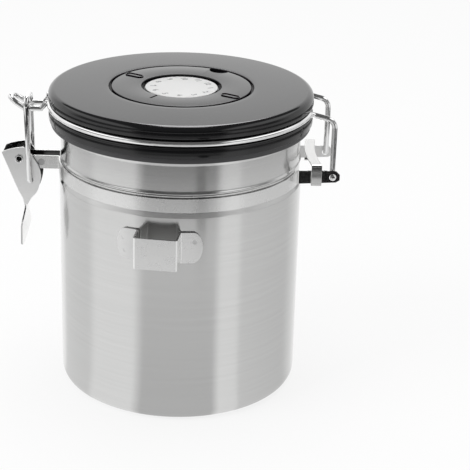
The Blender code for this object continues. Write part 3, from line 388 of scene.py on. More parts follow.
def gloss_black():
    """Moulded gloss plastic with a faint orange peel and a little dust."""
    material, tree, shader = new_material("gloss_black_moulded", (0.005, 0.005, 0.0055), 0.09)
    place = tree.stretched()
    peel = tree.noise(place, 700.0, 2.0, 0.5)
    haze = tree.noise(place, 45.0, 3.0, 0.55)
    tree.vary(shader, haze, 0.07, 0.13, peel, 0.05, 0.00004)
    tree.fill(shader, {"IOR": 1.50})
    return material


def grained(name, color, roughness, scale, strength, metallic=0.0, span=None, distance=0.00004,
            detail=(3.0, 0.55)):
    """A plain finish whose one fine grain varies its roughness, over a span, and its height."""
    material, tree, shader = new_material(name, color, roughness, metallic)
    grain = tree.noise(tree.stretched(), scale, *detail)
    low, high = span or (roughness * 0.85, roughness * 1.15)
    tree.vary(shader, grain, low, high, grain, strength, distance)
    return material


STEEL = brushed_steel()
STRAP_STEEL = sheet_steel("bright_steel_sheet", 0.80, 0.26)
CLIP_STEEL = sheet_steel("bright_steel_clip", 0.62, 0.14)
EAR_STEEL = sheet_steel("bright_steel_ear", 0.80, 0.05)
LEVER_STEEL = sheet_steel("bright_steel_lever", 0.96, 0.30)
# A darker copy of the lever steel for the tail's outer side: painted shade.
TAIL_SHADE_STEEL = sheet_steel("bright_steel_tail_painted_shade", 0.50, 0.30, 0.0)
BRACKET_STEEL = sheet_steel("bracket_steel_satin", 0.90, 0.26)
# A darker copy of the bracket steel for the box's inner faces: painted shade.
BRACKET_INSIDE_SHADE = sheet_steel("bracket_steel_inside_painted_shade", 0.78, 0.35)
CHROME = grained("chromed_wire_polish", (0.86, 0.86, 0.86), 0.06, 420.0, 0.08, 1.0, (0.04, 0.11), 0.00005,
                 (2.0, 0.5))
BORE = grained("rivet_bore_shade", (0.015, 0.015, 0.015), 0.60, 900.0, 0.08)
# A dark copy of the sheet steel for the inner faces of the lever's cheeks and the latch ears: painted shade.
SHEET_INSIDE_SHADE = sheet_steel("bright_steel_inside_painted_shade", 0.30, 0.16, 0.0)
WELD = sheet_steel("bright_steel_weld", 0.52, 0.34, 0.0)
# A darker, duller copy of the bracket steel for the left tab only: painted shade.
LEFT_TAB_SHADE_STEEL = sheet_steel("bracket_steel_left_tab_painted_shade", 0.82, 0.40)
TAB_WELD = sheet_steel("bracket_steel_weld", 0.80, 0.36)
BLACK = gloss_black()
RUBBER = grained("black_silicone_satin", (0.040, 0.040, 0.042), 0.40, 900.0, 0.12, span=(0.28, 0.42),
                 detail=(2.0, 0.5))
WHITE = grained("dial_white_print", (0.57, 0.57, 0.565), 0.42, 1500.0, 0.05)
PRINT = grained("dial_numeral_grey", (0.15, 0.15, 0.155), 0.45, 1500.0, 0.05)
CLEAR_SILICONE = grained("valve_silicone_satin", (0.55, 0.55, 0.53), 0.40, 900.0, 0.08)
PAPER = grained("filter_paper_fibre", (0.75, 0.72, 0.66), 0.90, 2400.0, 0.60)
SCREW_STEEL = grained("screw_steel_plain", (0.45, 0.45, 0.46), 0.32, 1200.0, 0.10, 1.0)


# Shapes
def at_azimuth(radius, azimuth):
    return (radius * cos(azimuth), radius * sin(azimuth))


def new_object(name, data):
    obj = bpy.data.objects.new(name, data)
    bpy.context.scene.collection.objects.link(obj)
    return obj


def finish_mesh(name, bm, material):
    """An object from a bmesh, with outward faces, smooth but for its sharp edges."""
    bmesh.ops.recalc_face_normals(bm, faces=bm.faces)
    mesh = bpy.data.meshes.new(name)
    bm.to_mesh(mesh)
    bm.free()
    mesh.shade_smooth()
    mesh.set_sharp_from_angle(angle=SMOOTH_ANGLE)
    mesh.materials.append(material)
    return new_object(name, mesh)


def dress(obj, body, slot, *nodes):
    """The piece rides on a body and stands for CAD nodes, which are hidden; slot is not used."""
    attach(obj, body)
    if nodes:
        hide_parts(*nodes)


def soften(obj, width, segments=2):
    """Rounds the sheared edges of a sheet a little, so that they catch the light."""
    bevel = obj.modifiers.new("soft_edges", "BEVEL")
    bevel.width = width
    bevel.segments = segments
    bevel.limit_method = "ANGLE"
    bevel.angle_limit = CORNER_ANGLE
    bevel.harden_normals = True


def paint(obj, *rules):
    """Gives each face the material of the first rule that it meets, or leaves it the object's own."""
    for material, _ in rules:
        obj.data.materials.append(material)
    for face in obj.data.polygons:
        face.material_index = next((i for i, (_, meets) in enumerate(rules, 1) if meets(face)), 0)


def arc(centre, radius, start, end, steps):
    turns = [start + (end - start) * i / steps for i in range(steps + 1)]
    return [(centre[0] + radius * cos(t), centre[1] + radius * sin(t)) for t in turns]


def eased(profile, radius, steps=3, closed=False):
    """A profile of (radius, z) points with its sharp corners rounded."""
    points = [Vector(p) for p in profile]
    count = len(points)
    out = []
    for i, here in enumerate(points):
        if not closed and i in (0, count - 1):
            out.append(tuple(here))
            continue
        before, after = points[i - 1], points[(i + 1) % count]
        into, away = here - before, after - here
        turn = into.angle(away)
        if turn < CORNER_ANGLE or here.x < MERGE_DISTANCE:
            out.append(tuple(here))
            continue
        reach = min(radius * tan(turn / 2), into.length * EASE_SHARE, away.length * EASE_SHARE)
        start = here - into.normalized() * reach
        end = here + away.normalized() * reach
        for k in range(steps + 1):
            t = k / steps
            out.append(tuple(start * (1 - t) ** 2 + here * 2 * t * (1 - t) + end * t ** 2))
    return out


def lathe(name, profile, material, steps=ROUND_STEPS, closed=False):
    """Turns a profile of (radius, z) points about Z."""
    bm = bmesh.new()
    rows = []
    for r, z in profile:
        if r < MERGE_DISTANCE:
            rows.append([bm.verts.new((0.0, 0.0, z))])
        else:
            rows.append([bm.verts.new((*at_azimuth(r, 2 * pi * k / steps), z)) for k in range(steps)])
    pairs = list(zip(rows, rows[1:]))
    if closed:
        pairs.append((rows[-1], rows[0]))
    for a, b in pairs:
        for k in range(steps):
            j = (k + 1) % steps
            corners = list(dict.fromkeys((a[k % len(a)], a[j % len(a)], b[j % len(b)], b[k % len(b)])))
            if len(corners) > 2:
                bm.faces.new(corners)
    return finish_mesh(name, bm, material)


def fillet(corners, radii, steps=10):
    """Rounds the corners of a route. A radius of zero keeps the corner as a point."""
    route = [Vector(corners[0])]
    for i in range(1, len(corners) - 1):
        before, here, after = (Vector(corners[k]) for k in (i - 1, i, i + 1))
        incoming = (here - before).normalized()
        outgoing = (after - here).normalized()
        turn = incoming.angle(outgoing)
        if radii[i] == 0 or turn < STRAIGHT_ANGLE:
            route.append(here)
            continue
        reach = radii[i] * tan(turn / 2)
        start = here - incoming * reach
        axis = incoming.cross(outgoing).normalized()
        centre = start + axis.cross(incoming) * radii[i]
        for k in range(steps + 1):
            spin = Matrix.Rotation(turn * k / steps, 3, axis)
            route.append(centre + spin @ (start - centre))
    route.append(Vector(corners[-1]))
    return route


def flat_route(corners, radii, steps):
    """The rounded route through corners on a plane."""
    route = fillet([(u, v, 0.0) for u, v in corners], radii, steps)
    return [Vector((p.x, p.y)) for p in route]


def sweep(name, rings, material):
    """A solid from closed rings of points, one after the other, with a cap at each end."""
    bm = bmesh.new()
    rings = [[bm.verts.new(point) for point in ring] for ring in rings]
    for ring, following in zip(rings, rings[1:]):
        for k in range(len(ring)):
            j = (k + 1) % len(ring)
            bm.faces.new((ring[k], ring[j], following[j], following[k]))
    bm.faces.new(rings[0])
    bm.faces.new(rings[-1])
    return finish_mesh(name, bm, material)


def wire(name, route, radius, material):
    """A round wire along a route, with slightly rounded ends."""
    last = len(route) - 1
    tangents = [(route[min(i + 1, last)] - route[max(i - 1, 0)]).normalized() for i in range(last + 1)]
    edge = radius * WIRE_END_SHARE
    round_end = [(edge * (1 - cos(a)), radius - edge * (1 - sin(a))) for a in (0.0, pi / 6, pi / 3, pi / 2)]
    stations = [(route[0] + tangents[0] * inward, tangents[0], size) for inward, size in round_end]
    stations += [(p, t, radius) for p, t in zip(route[1:-1], tangents[1:-1])]
    stations += [(route[-1] - tangents[-1] * inward, tangents[-1], size) for inward, size in round_end[::-1]]
    normal = tangents[0].orthogonal().normalized()
    before = tangents[0]
    rings = []
    for place, tangent, size in stations:
        normal = before.rotation_difference(tangent) @ normal
        normal = (normal - tangent * normal.dot(tangent)).normalized()
        before = tangent
        across = tangent.cross(normal)
        turns = [2 * pi * k / WIRE_SIDES for k in range(WIRE_SIDES)]
        rings.append([place + (normal * cos(t) + across * sin(t)) * size for t in turns])
    return sweep(name, rings, material)


def round_bar(name, radius, length, placement, steps=SMALL_STEPS):
    """A hidden round tool, centred and turned by its placement."""
    bm = bmesh.new()
    bmesh.ops.create_cone(bm, cap_ends=True, segments=steps, radius1=radius, radius2=radius, depth=length,
                          matrix=placement)
    return finish_mesh(name, bm, BLACK)


def cutter(name, radius, low, high, axis="Z", place=(0.0, 0.0, 0.0), steps=SMALL_STEPS):
    """A round tool from low to high along one axis through a place."""
    turn = Matrix.Rotation(-pi / 2 if axis == "Y" else 0.0, 4, "X")
    middle = Matrix.Translation((0.0, 0.0, (low + high) / 2))
    return round_bar(name, radius, high - low, Matrix.Translation(place) @ turn @ middle, steps)


def weld_mark(name, place, outward, radius):
    """A round tool that leaves a flat, shallow spot weld mark in the surface at a place."""
    turn = Vector((0.0, 0.0, 1.0)).rotation_difference(Vector(outward)).to_matrix().to_4x4()
    return round_bar(name, radius, 2 * WELD_DEPTH, Matrix.Translation(place) @ turn)


def block(name, size, radius, azimuth, height):
    """A box tool centred at a radius, an azimuth and a height, with its first side along the radius."""
    bm = bmesh.new()
    bmesh.ops.create_cube(bm, size=1.0)
    place = Matrix.Translation((radius, 0.0, height)) @ Matrix.Diagonal((*size, 1.0))
    bmesh.ops.transform(bm, verts=bm.verts, matrix=Matrix.Rotation(azimuth, 4, "Z") @ place)
    return finish_mesh(name, bm, BLACK)


def in_weld(face, place, radius):
    """Whether a face is the flat bottom of the weld mark at a place."""
    away = face.center - place
    return away.length < radius / 2 and WELD_DEPTH / 2 < -away.dot(face.normal) < 2 * WELD_DEPTH


def prism(name, outline, low, high, material, plane="XZ"):
    """A flat outline made solid from low to high across its plane."""
    rings = [[(u, level, v) if plane == "XZ" else (u, v, level) for u, v in outline] for level in (low, high)]
    return sweep(name, rings, material)


def apply_tools(obj, tools, operation="DIFFERENCE"):
    """Joins or cuts with the tools, keeps the result as a plain mesh and removes the tools."""
    for tool in tools:
        modifier = obj.modifiers.new("tool", "BOOLEAN")
        modifier.operation = operation
        modifier.solver = "EXACT"
        modifier.object = tool
    bpy.context.view_layer.update()
    evaluated = obj.evaluated_get(bpy.context.evaluated_depsgraph_get())
    mesh = bpy.data.meshes.new_from_object(evaluated)
    obj.modifiers.clear()
    old = obj.data
    obj.data = mesh
    bpy.data.meshes.remove(old)
    for tool in tools:
        bpy.data.objects.remove(tool, do_unlink=True)
    obj.data.set_sharp_from_angle(angle=SMOOTH_ANGLE)


def side_offset(path, offset):
    """A flat path moved to its left, with its corners mitred."""
    steps = [(after - here).normalized() for here, after in zip(path, path[1:])]
    moved = []
    for here, into, out in zip(path, steps[:1] + steps, steps + steps[-1:]):
        along = (into + out).normalized()
        normal = Vector((-along.y, along.x))
        moved.append(here + normal * offset / max(normal.dot(Vector((-into.y, into.x))), MITRE_LIMIT))
    return moved


def strip(name, path, thickness, spans, place, material):
    """Sheet metal along a flat path. spans gives each point's two edges, place the solid point."""
    left = side_offset(path, thickness / 2)
    right = side_offset(path, -thickness / 2)
    rings = [[place(p, w) for p, w in ((a, low), (a, high), (b, high), (b, low))]
             for a, b, (low, high) in zip(left, right, spans)]
    return sweep(name, rings, material)


# Can, strap and latch
def canister_body():
    inner = BODY_RADIUS - BODY_WALL
    neck_inner = NECK_RADIUS - BODY_WALL
    curl = (RIM_CURL_CENTRE_RADIUS, RIM_TOP_Z - RIM_CURL_RADIUS)
    corner_inner = BASE_CORNER_RADIUS - BODY_WALL
    profile = [(0.0, BODY_WALL)]
    profile += arc((inner - corner_inner, BODY_WALL + corner_inner), corner_inner, -pi / 2, 0.0,
                   BASE_INSIDE_STEPS)
    profile += [(inner, SHOULDER_LOW_Z), (neck_inner, SHOULDER_HIGH_Z), (neck_inner, NECK_INNER_HIGH_Z)]
    profile += arc(curl, RIM_CURL_RADIUS, pi, RIM_CURL_END, RIM_CURL_STEPS)
    profile += [(NECK_RADIUS, FLARE_LOW_Z), (NECK_RADIUS, FLARE_LOW_Z - PROFILE_HOLD),
                (NECK_RADIUS, BEAD_Z + BEAD_HALF_HEIGHT + PROFILE_HOLD)]
    for k in range(BEAD_STEPS + 1):
        height = BEAD_Z + BEAD_HALF_HEIGHT * (1 - 2 * k / BEAD_STEPS)
        profile.append((NECK_RADIUS + BEAD_PROUD * (0.5 - 0.5 * cos(2 * pi * k / BEAD_STEPS)), height))
    profile += [(NECK_RADIUS, BEAD_Z - BEAD_HALF_HEIGHT - PROFILE_HOLD),
                (NECK_RADIUS, SHOULDER_HIGH_Z + PROFILE_HOLD), (NECK_RADIUS, SHOULDER_HIGH_Z),
                (BODY_RADIUS, SHOULDER_LOW_Z), (BODY_RADIUS, SHOULDER_LOW_Z - PROFILE_HOLD),
                (BODY_RADIUS, BASE_CORNER_RADIUS + PROFILE_HOLD)]
    corner = (BODY_RADIUS - BASE_CORNER_RADIUS, BASE_CORNER_RADIUS)
    profile += arc(corner, BASE_CORNER_RADIUS, 0.0, -pi / 2, BASE_CORNER_STEPS)
    profile += [(0.0, 0.0)]
    body = lathe("can_drawn", profile, STEEL)
    dress(body, "root", "brushed_steel", "canister_body")


def strap_half(name, side, node):
    eye_end = LATCH_PIVOT_X - LATCH_EYE_RADIUS
    latch_angle = asin(LATCH_EAR_Y / STRAP_RADIUS)
    hinge_angle = asin(HINGE_EAR_Y / STRAP_RADIUS) + side * HINGE_AZIMUTH
    hinge_line = Vector(at_azimuth(1.0, side * HINGE_AZIMUTH))
    hinge_across = Vector((-hinge_line.y, hinge_line.x))
    stations = [eye_end + LATCH_EYE_RADIUS * (1 - cos(pi * k / EYE_STEPS))
                for k in range(1, EYE_STEPS - EYE_OPEN_STEPS)]
    blend_end = stations[-1] + LATCH_EYE_BLEND
    corners = [(eye_end, LATCH_EAR_Y)] + [(x, LATCH_EAR_Y) for x in stations + [blend_end]]
    radii = [0.0] * len(corners)
    for k in range(STRAP_ARC_STEPS + 1):
        turn = pi - latch_angle - (pi - latch_angle - hinge_angle) * k / STRAP_ARC_STEPS
        corners.append(at_azimuth(STRAP_RADIUS, turn))
        radii.append(STRAP_BEND_RADIUS if k in (0, STRAP_ARC_STEPS) else 0.0)
    for along in (HINGE_EAR_END_X - HINGE_EAR_CHAMFER, HINGE_EAR_END_X):
        corners.append(tuple(along * hinge_line + HINGE_EAR_Y * hinge_across))
        radii.append(0.0)
    path = flat_route(corners, radii, SHEET_BEND_STEPS)
    spans = []
    for p in path:
        reach = abs(p.x - LATCH_PIVOT_X)
        low, high = STRAP_LOW_Z, STRAP_HIGH_Z
        if p.x < blend_end:
            half = sqrt(max(LATCH_EYE_RADIUS ** 2 - min(reach, LATCH_EYE_RADIUS) ** 2,
                            (LATCH_EYE_RADIUS * EYE_END_SHARE) ** 2))
            low, high = LATCH_PIVOT_Z - half, LATCH_PIVOT_Z + half
            if p.x > LATCH_PIVOT_X:
                low, high = min(low, STRAP_LOW_Z), max(high, STRAP_HIGH_Z)
        left = HINGE_EAR_END_X - p.dot(hinge_line)
        if left < HINGE_EAR_CHAMFER / 2:
            low, high = STRAP_LOW_Z + HINGE_EAR_CHAMFER, STRAP_HIGH_Z - HINGE_EAR_CHAMFER
        elif left < 3 * HINGE_EAR_CHAMFER / 2:
            low = STRAP_LOW_Z + HINGE_EAR_TAPER
        spans.append((low, high))
    strap = strip(name, path, STRAP_THICKNESS, spans, lambda p, z: (p.x, side * p.y, z), STRAP_STEEL)
    low, high = sorted((side * (LATCH_EAR_Y - CUT_OVERRUN), side * (HINGE_EAR_Y + CUT_OVERRUN)))
    rivet_hole = cutter("rivet_hole", RIVET_TUBE_RADIUS + FIT, low, high, "Y",
                        (LATCH_PIVOT_X, 0.0, LATCH_PIVOT_Z))
    pin_hole = cutter("pin_hole", LID_WIRE_RADIUS + FIT, low, high, "Y", (HINGE_X, 0.0, HINGE_Z))
    pin_hole.data.transform(HINGE_TURN.to_4x4())
    mark_place = Vector((EAR_MARK_X, side * (LATCH_EAR_Y + STRAP_THICKNESS / 2), EAR_MARK_Z))
    ear_mark = weld_mark("ear_weld", mark_place, (0.0, side, 0.0), EAR_WELD_RADIUS)
    apply_tools(strap, [rivet_hole, pin_hole, ear_mark])
    paint(strap,
          (LEVER_STEEL, lambda face: face.center.x > HINGE_EAR_START_X and face.normal.y * side <= -FACING),
          (EAR_STEEL, lambda face: face.center.x > HINGE_EAR_START_X),
          # The latch ears' inner faces are painted dark: painted shade.
          (SHEET_INSIDE_SHADE, lambda face: face.center.x < -STRAP_RADIUS and face.normal.y * side < -SQUARE_ON),
          (WELD, lambda face: in_weld(face, mark_place, EAR_WELD_RADIUS)))
    soften(strap, STRAP_EDGE)
    dress(strap, "root", "bright_steel", node)


def at_hinge(along, across, z):
    return HINGE_TURN @ Vector((along, across, z))


def hinge_clip():
    outside = HINGE_EAR_Y + STRAP_THICKNESS / 2 + FIT + CLIP_THICKNESS / 2
    top = STRAP_HIGH_Z + CLIP_HEADROOM + CLIP_THICKNESS / 2
    bottom = STRAP_LOW_Z - FIT - CLIP_THICKNESS / 2
    hook = outside - CLIP_HOOK
    corners = [(-hook, bottom), (-outside, bottom), (-outside, top)]
    corners += [(outside * (2 * k / CLIP_STEPS - 1), top) for k in range(1, CLIP_STEPS)]
    corners += [(outside, top), (outside, bottom), (hook, bottom)]
    radii = [CLIP_BEND_RADIUS if abs(y) == outside else 0.0 for y, z in corners]
    path = flat_route(corners, radii, CLIP_BEND_STEPS)
    spans = []
    for p in path:
        bow = CLIP_BOW * cos(pi / 2 * p.x / outside) if p.y > HINGE_Z else 0.0
        spans.append((CLIP_X - bow, CLIP_X + CLIP_WIDTH - bow))
    clip = strip("clip_folded", path, CLIP_THICKNESS, spans, lambda p, x: at_hinge(x, p.x, p.y), CLIP_STEEL)
    soften(clip, CLIP_EDGE)
    dress(clip, "root", "bright_steel", "hinge_clip")


def latch_rivet():
    head_in = LEVER_HALF_WIDTH + FIT
    head_out = head_in + RIVET_HEAD_THICKNESS
    flare = head_out - (RIVET_FLARE_RADIUS - RIVET_BORE_RADIUS)
    half = [(RIVET_BORE_RADIUS, flare), (RIVET_FLARE_RADIUS, head_out), (RIVET_HEAD_RADIUS, head_out),
            (RIVET_HEAD_RADIUS, head_in), (RIVET_TUBE_RADIUS, head_in)]
    profile = half + [(r, -z) for r, z in reversed(half)]
    rivet = lathe("rivet_tubular", eased(profile, RIVET_EDGE, closed=True), CHROME, SMALL_STEPS, closed=True)
    bore_reach = RIVET_BORE_RADIUS * BORE_FACE_SHARE
    paint(rivet, (BORE, lambda face: face.center.xy.length < bore_reach and abs(face.normal.z) < FACING))
    rivet.data.transform(Matrix.Translation((LATCH_PIVOT_X, 0.0, LATCH_PIVOT_Z))
                         @ Matrix.Rotation(pi / 2, 4, "X"))
    dress(rivet, "root", "chromed_wire", "latch_rivet")


# Cheek outline from the pivot, clockwise from the outer corner, as shares of the cheek's width and length
CHEEK_SHARES = ((-0.445, 0.113), (-0.285, 0.155), (-0.115, 0.184), (0.090, 0.206), (0.165, 0.190),
                (0.300, 0.094), (0.395, -0.006), (0.490, -0.110), (0.530, -0.213), (0.545, -0.313),
                (0.510, -0.445), (0.435, -0.581), (0.290, -0.690), (0.195, -0.803), (0.105, -0.819),
                (0.070, -0.694), (-0.030, -0.568), (-0.150, -0.377))
# Its points that lie on the two curved edges
INNER_EDGE = range(4, 14)
OUTER_EDGE = (14, 15, 16, 17, 0)
TAIL_WIDEST = 0.36
TAIL_CURVE_STEPS = 5
# The tail from its root to its tip: the way down, the sway and the added width
TAIL_SHARES = ((0.10, 0.05, 0.0), (0.22, 0.10, 0.45), (TAIL_WIDEST, 0.14, 1.0), (0.52, 0.22, 0.97),
               (0.68, 0.38, 0.74), (0.84, 0.60, 0.42), (0.95, 0.76, 0.18), (1.00, 0.83, 0.0))


def smooth_curve(points, steps=4):
    """A Catmull-Rom curve through points of any size, given as tuples."""
    last = len(points) - 1
    out = []
    for i in range(last):
        a, b, c, d = (Vector(points[min(max(i + k, 0), last)]) for k in (-1, 0, 1, 2))
        for k in range(steps):
            t = k / steps
            out.append(tuple(b + (c - a) * t / 2 + (a * 2 - b * 5 + c * 4 - d) * t ** 2 / 2
                             + ((b - c) * 3 + d - a) * t ** 3 / 2))
    return out + [tuple(points[-1])]


def latch_lever():
    outline = [(LATCH_PIVOT_X + u * CHEEK_WIDTH, LATCH_PIVOT_Z + v * CHEEK_LENGTH) for u, v in CHEEK_SHARES]
    inside = LEVER_HALF_WIDTH - LEVER_SHEET
    outer_edge = smooth_curve([outline[k] for k in OUTER_EDGE])
    inner_edge = smooth_curve([outline[k] for k in INNER_EDGE])
    fine_outline = outline[:INNER_EDGE[0]] + inner_edge + outer_edge[:-1]
    front = prism("lever_folded", fine_outline, -LEVER_HALF_WIDTH, -inside, LEVER_STEEL)
    rear = prism("lever_rear", fine_outline, inside, LEVER_HALF_WIDTH, LEVER_STEEL)
    centre = side_offset([Vector(p) for p in outer_edge[::-1]], LEVER_SHEET / 2)
    root = centre[-1]
    rows = [(p.x, p.y, LEVER_HALF_WIDTH - LEVER_SHEET / 4) for p in centre]
    tail = rows[-1:]
    for down, sway, wide in TAIL_SHARES:
        narrow = TAIL_NECK_HALF_WIDTH if down < TAIL_WIDEST else TAIL_TIP_HALF_WIDTH
        tail.append((root.x - sway * TAIL_SWAY, root.y - down * TAIL_LENGTH,
                     narrow + wide * (TAIL_HALF_WIDTH - narrow)))
    rows = rows[:-1] + smooth_curve(tail, TAIL_CURVE_STEPS)
    path = [Vector((x, z)) for x, z, half in rows]
    spans = [(-half, half) for x, z, half in rows]

    def place(p, y):
        below = min(max((root.y - p.y) / (TAIL_LENGTH / 2), 0.0), 1.0)
        return (p.x + y * tan(TAIL_TWIST) * below, y, p.y)

    sheet = strip("lever_sheet", path, LEVER_SHEET, spans, place, LEVER_STEEL)
    apply_tools(front, [rear, sheet], "UNION")
    reach = LEVER_HALF_WIDTH + CUT_OVERRUN
    holes = [cutter("lever_hole_" + label, radius + FIT, -reach, reach, "Y", (x, 0.0, z))
             for label, radius, x, z in (("rivet", RIVET_TUBE_RADIUS, LATCH_PIVOT_X, LATCH_PIVOT_Z),
                                         ("link", LINK_WIRE_RADIUS, LINK_PIVOT_X, LINK_PIVOT_Z))]
    apply_tools(front, holes)
    tail_top = root.y - TAIL_SHARES[1][0] * TAIL_LENGTH
    middle = inside + LEVER_SHEET / 2
    # The tail's outer faces are painted darker: painted shade.
    paint(front, (TAIL_SHADE_STEEL, lambda face: face.center.z < tail_top and face.normal.x < 0.0),
          # The cheeks' inner faces are painted dark: painted shade.
          (SHEET_INSIDE_SHADE, lambda face: (face.center.z >= tail_top and abs(face.center.y) < middle
                                       and abs(face.normal.y) > SQUARE_ON)))
    soften(front, LEVER_EDGE)
    dress(front, "lever", "bright_steel", "latch_lever")


def draw_link():
    low = (LINK_PIVOT_X, LINK_PIVOT_Z)
    high = (LINK_PIVOT_X + LINK_LEAN, LINK_PIVOT_Z + LINK_HEIGHT)
    half = [(low, LEVER_HALF_WIDTH - LEVER_SHEET - LINK_FOOT_INSIDE, 0.0),
            (low, LINK_HALF_WIDTH, LINK_FOOT_BEND), (high, LINK_HALF_WIDTH, LINK_BOW_RADIUS)]
    corners = [(x, -y, z) for (x, z), y, _ in half] + [(x, y, z) for (x, z), y, _ in reversed(half)]
    bends = [bend for _, _, bend in half]
    route = fillet(corners, bends + bends[::-1], WIRE_BEND_STEPS)
    link = wire("link_bent", route, LINK_WIRE_RADIUS, CHROME)
    dress(link, "link", "chromed_wire", "draw_link")


# Lid
def wire_half(side):
    """Corners and bends from one foot to the nose's tip. side is -1 in front, 1 behind."""
    leg_angle = asin(LEG_Y / LID_WIRE_RING_RADIUS)
    nose_angle = asin(NOSE_HALF_WIDTH / LID_WIRE_RING_RADIUS)
    foot_end = HINGE_EAR_Y + STRAP_THICKNESS / 2 + LEG_FOOT_PROUD
    half = [(at_hinge(HINGE_X, side * foot_end, HINGE_Z), 0.0),
            (at_hinge(HINGE_X, side * LEG_Y, HINGE_Z), LEG_FOOT_BEND),
            (at_hinge(HINGE_X, side * LEG_Y, LEG_TOP_Z), LEG_BEND_RADIUS)]
    first = HINGE_AZIMUTH + side * leg_angle
    last = side * (pi - nose_angle)
    for k in range(LID_WIRE_ARC_STEPS + 1):
        # The bends take up the steps next to both ends of the arc
        if 0 < k <= LEG_BEND_STEPS or LID_WIRE_ARC_STEPS - NOSE_BEND_STEPS <= k < LID_WIRE_ARC_STEPS:
            continue
        turn = first + (last - first) * k / LID_WIRE_ARC_STEPS
        bend = {0: LEG_RING_BEND, LID_WIRE_ARC_STEPS: NOSE_ROOT_BEND}.get(k, 0.0)
        half.append(((*at_azimuth(LID_WIRE_RING_RADIUS, turn), LID_WIRE_Z), bend))
    across = side * NOSE_HALF_WIDTH
    half += [((NOSE_ROOT_X, across, LID_WIRE_Z), 0.0), ((NOSE_DIP_X, across, NOSE_LOW_Z), 0.0),
             ((NOSE_BEND_X, across, NOSE_LOW_Z), NOSE_ROOT_BEND),
             ((NOSE_TIP_X, across, NOSE_TIP_Z), NOSE_TIP_BEND)]
    return half


def lid_wire():
    route = wire_half(-1) + wire_half(1)[::-1]
    places, bends = zip(*route)
    bail = wire("bail_bent", fillet(places, bends, WIRE_BEND_STEPS), LID_WIRE_RADIUS, CHROME)
    dress(bail, "lid", "chromed_wire", "lid_wire")


def lid_shell():
    """The gloss top. Its bosses are hidden inside, so the piece is the outer shell alone."""
    edge = (LID_RADIUS - LID_EDGE_RADIUS, LID_TOP_Z - LID_CROWN - LID_EDGE_RADIUS)
    inside = LID_RADIUS - LID_WALL
    ceiling = LID_TOP_Z - LID_CROWN - LID_WALL
    cup = RECESS_RADIUS + RECESS_WALL
    lip_centre = (RECESS_RADIUS + RECESS_LIP, LID_TOP_Z - RECESS_LIP)
    profile = [(HUB_HOLE_RADIUS, RECESS_FLOOR_Z), (RECESS_RADIUS, RECESS_FLOOR_Z)]
    profile += arc(lip_centre, RECESS_LIP, pi, pi / 2, RING_EDGE_STEPS)
    for k in range(1, CROWN_STEPS):
        share = k / CROWN_STEPS
        radius = lip_centre[0] + (edge[0] - lip_centre[0]) * share
        profile.append((radius, LID_TOP_Z - LID_CROWN * share ** 2))
    profile += arc(edge, LID_EDGE_RADIUS, pi / 2, 0.0, LID_EDGE_STEPS)
    foot_centre = (LID_RADIUS - SHELL_FOOT, GROOVE_HIGH_Z + SHELL_FOOT)
    profile += arc(foot_centre, SHELL_FOOT, 0.0, -pi / 2, FOOT_STEPS)
    profile += [(inside, GROOVE_HIGH_Z), (inside, ceiling), (cup, ceiling), (cup, RECESS_UNDERSIDE_Z),
                (HUB_HOLE_RADIUS, RECESS_UNDERSIDE_Z)]
    shell = lathe("lid_top_shell", profile, BLACK, closed=True)
    dress(shell, "lid", "gloss_black", "lid_shell")


def lid_base():
    wall_inside = GROOVE_FLOOR_RADIUS - LID_WALL
    edge_high = (LOWER_RING_RADIUS - LOWER_RING_EDGE, GROOVE_LOW_Z - LOWER_RING_EDGE)
    foot = BASE_FOOT
    profile = [(VALVE_HOLE_RADIUS, PLATE_TOP_Z), (wall_inside, PLATE_TOP_Z),
               (wall_inside, GROOVE_HIGH_Z - FIT), (GROOVE_FLOOR_RADIUS, GROOVE_HIGH_Z - FIT),
               (GROOVE_FLOOR_RADIUS, GROOVE_LOW_Z)]
    profile += arc(edge_high, LOWER_RING_EDGE, pi / 2, 0.0, LOWER_RING_STEPS)
    skirt_inside = LOWER_RING_RADIUS - SKIRT_WALL
    plug_inside = PLUG_RADIUS - PLUG_WALL
    profile += arc((LOWER_RING_RADIUS - foot, SKIRT_LOW_Z + foot), foot, 0.0, -pi / 2, FOOT_STEPS)
    profile += [(skirt_inside, SKIRT_LOW_Z), (skirt_inside, PLATE_UNDERSIDE_Z),
                (PLUG_RADIUS, PLATE_UNDERSIDE_Z), (PLUG_RADIUS, PLUG_LOW_Z + foot),
                (PLUG_RADIUS - foot, PLUG_LOW_Z), (plug_inside + foot, PLUG_LOW_Z),
                (plug_inside, PLUG_LOW_Z + foot), (plug_inside, PLATE_UNDERSIDE_Z),
                (VALVE_HOLE_RADIUS, PLATE_UNDERSIDE_Z)]
    base = lathe("lid_lower_ring", profile, BLACK, closed=True)
    holes = [cutter("screw_hole", LID_SCREW_RADIUS + FIT, PLATE_UNDERSIDE_Z - CUT_OVERRUN,
                    PLATE_TOP_Z + CUT_OVERRUN, place=(*at_azimuth(LID_SCREW_CIRCLE, turn), 0.0))
             for turn in (pi / 4 + 2 * pi * k / LID_SCREW_COUNT for k in range(LID_SCREW_COUNT))]
    seam_height = GROOVE_LOW_Z - SKIRT_LOW_Z + CUT_OVERRUN
    seam = block("ring_seam", (2 * RING_SEAM_DEPTH, RING_SEAM_WIDTH, seam_height), LOWER_RING_RADIUS,
                 RING_SEAM_AZIMUTH, (GROOVE_LOW_Z + SKIRT_LOW_Z) / 2)
    apply_tools(base, holes + [seam])
    dress(base, "lid", "gloss_black", "lid_base")


def lid_gasket():
    top = PLATE_UNDERSIDE_Z - FIT
    web_low = RIM_TOP_Z + FIT
    outer = LOWER_RING_RADIUS - SKIRT_WALL - FIT
    inner = PLUG_RADIUS + FIT
    lip_inner = outer - GASKET_LIP_WALL
    profile = [(inner, top), (outer, top), (outer, GASKET_LIP_LOW_Z), (lip_inner, GASKET_LIP_LOW_Z),
               (lip_inner, web_low), (inner, web_low)]
    gasket = lathe("gasket_moulded", eased(profile, GASKET_EDGE, 5, closed=True), RUBBER, closed=True)
    dress(gasket, "lid", "black_silicone", "lid_gasket")


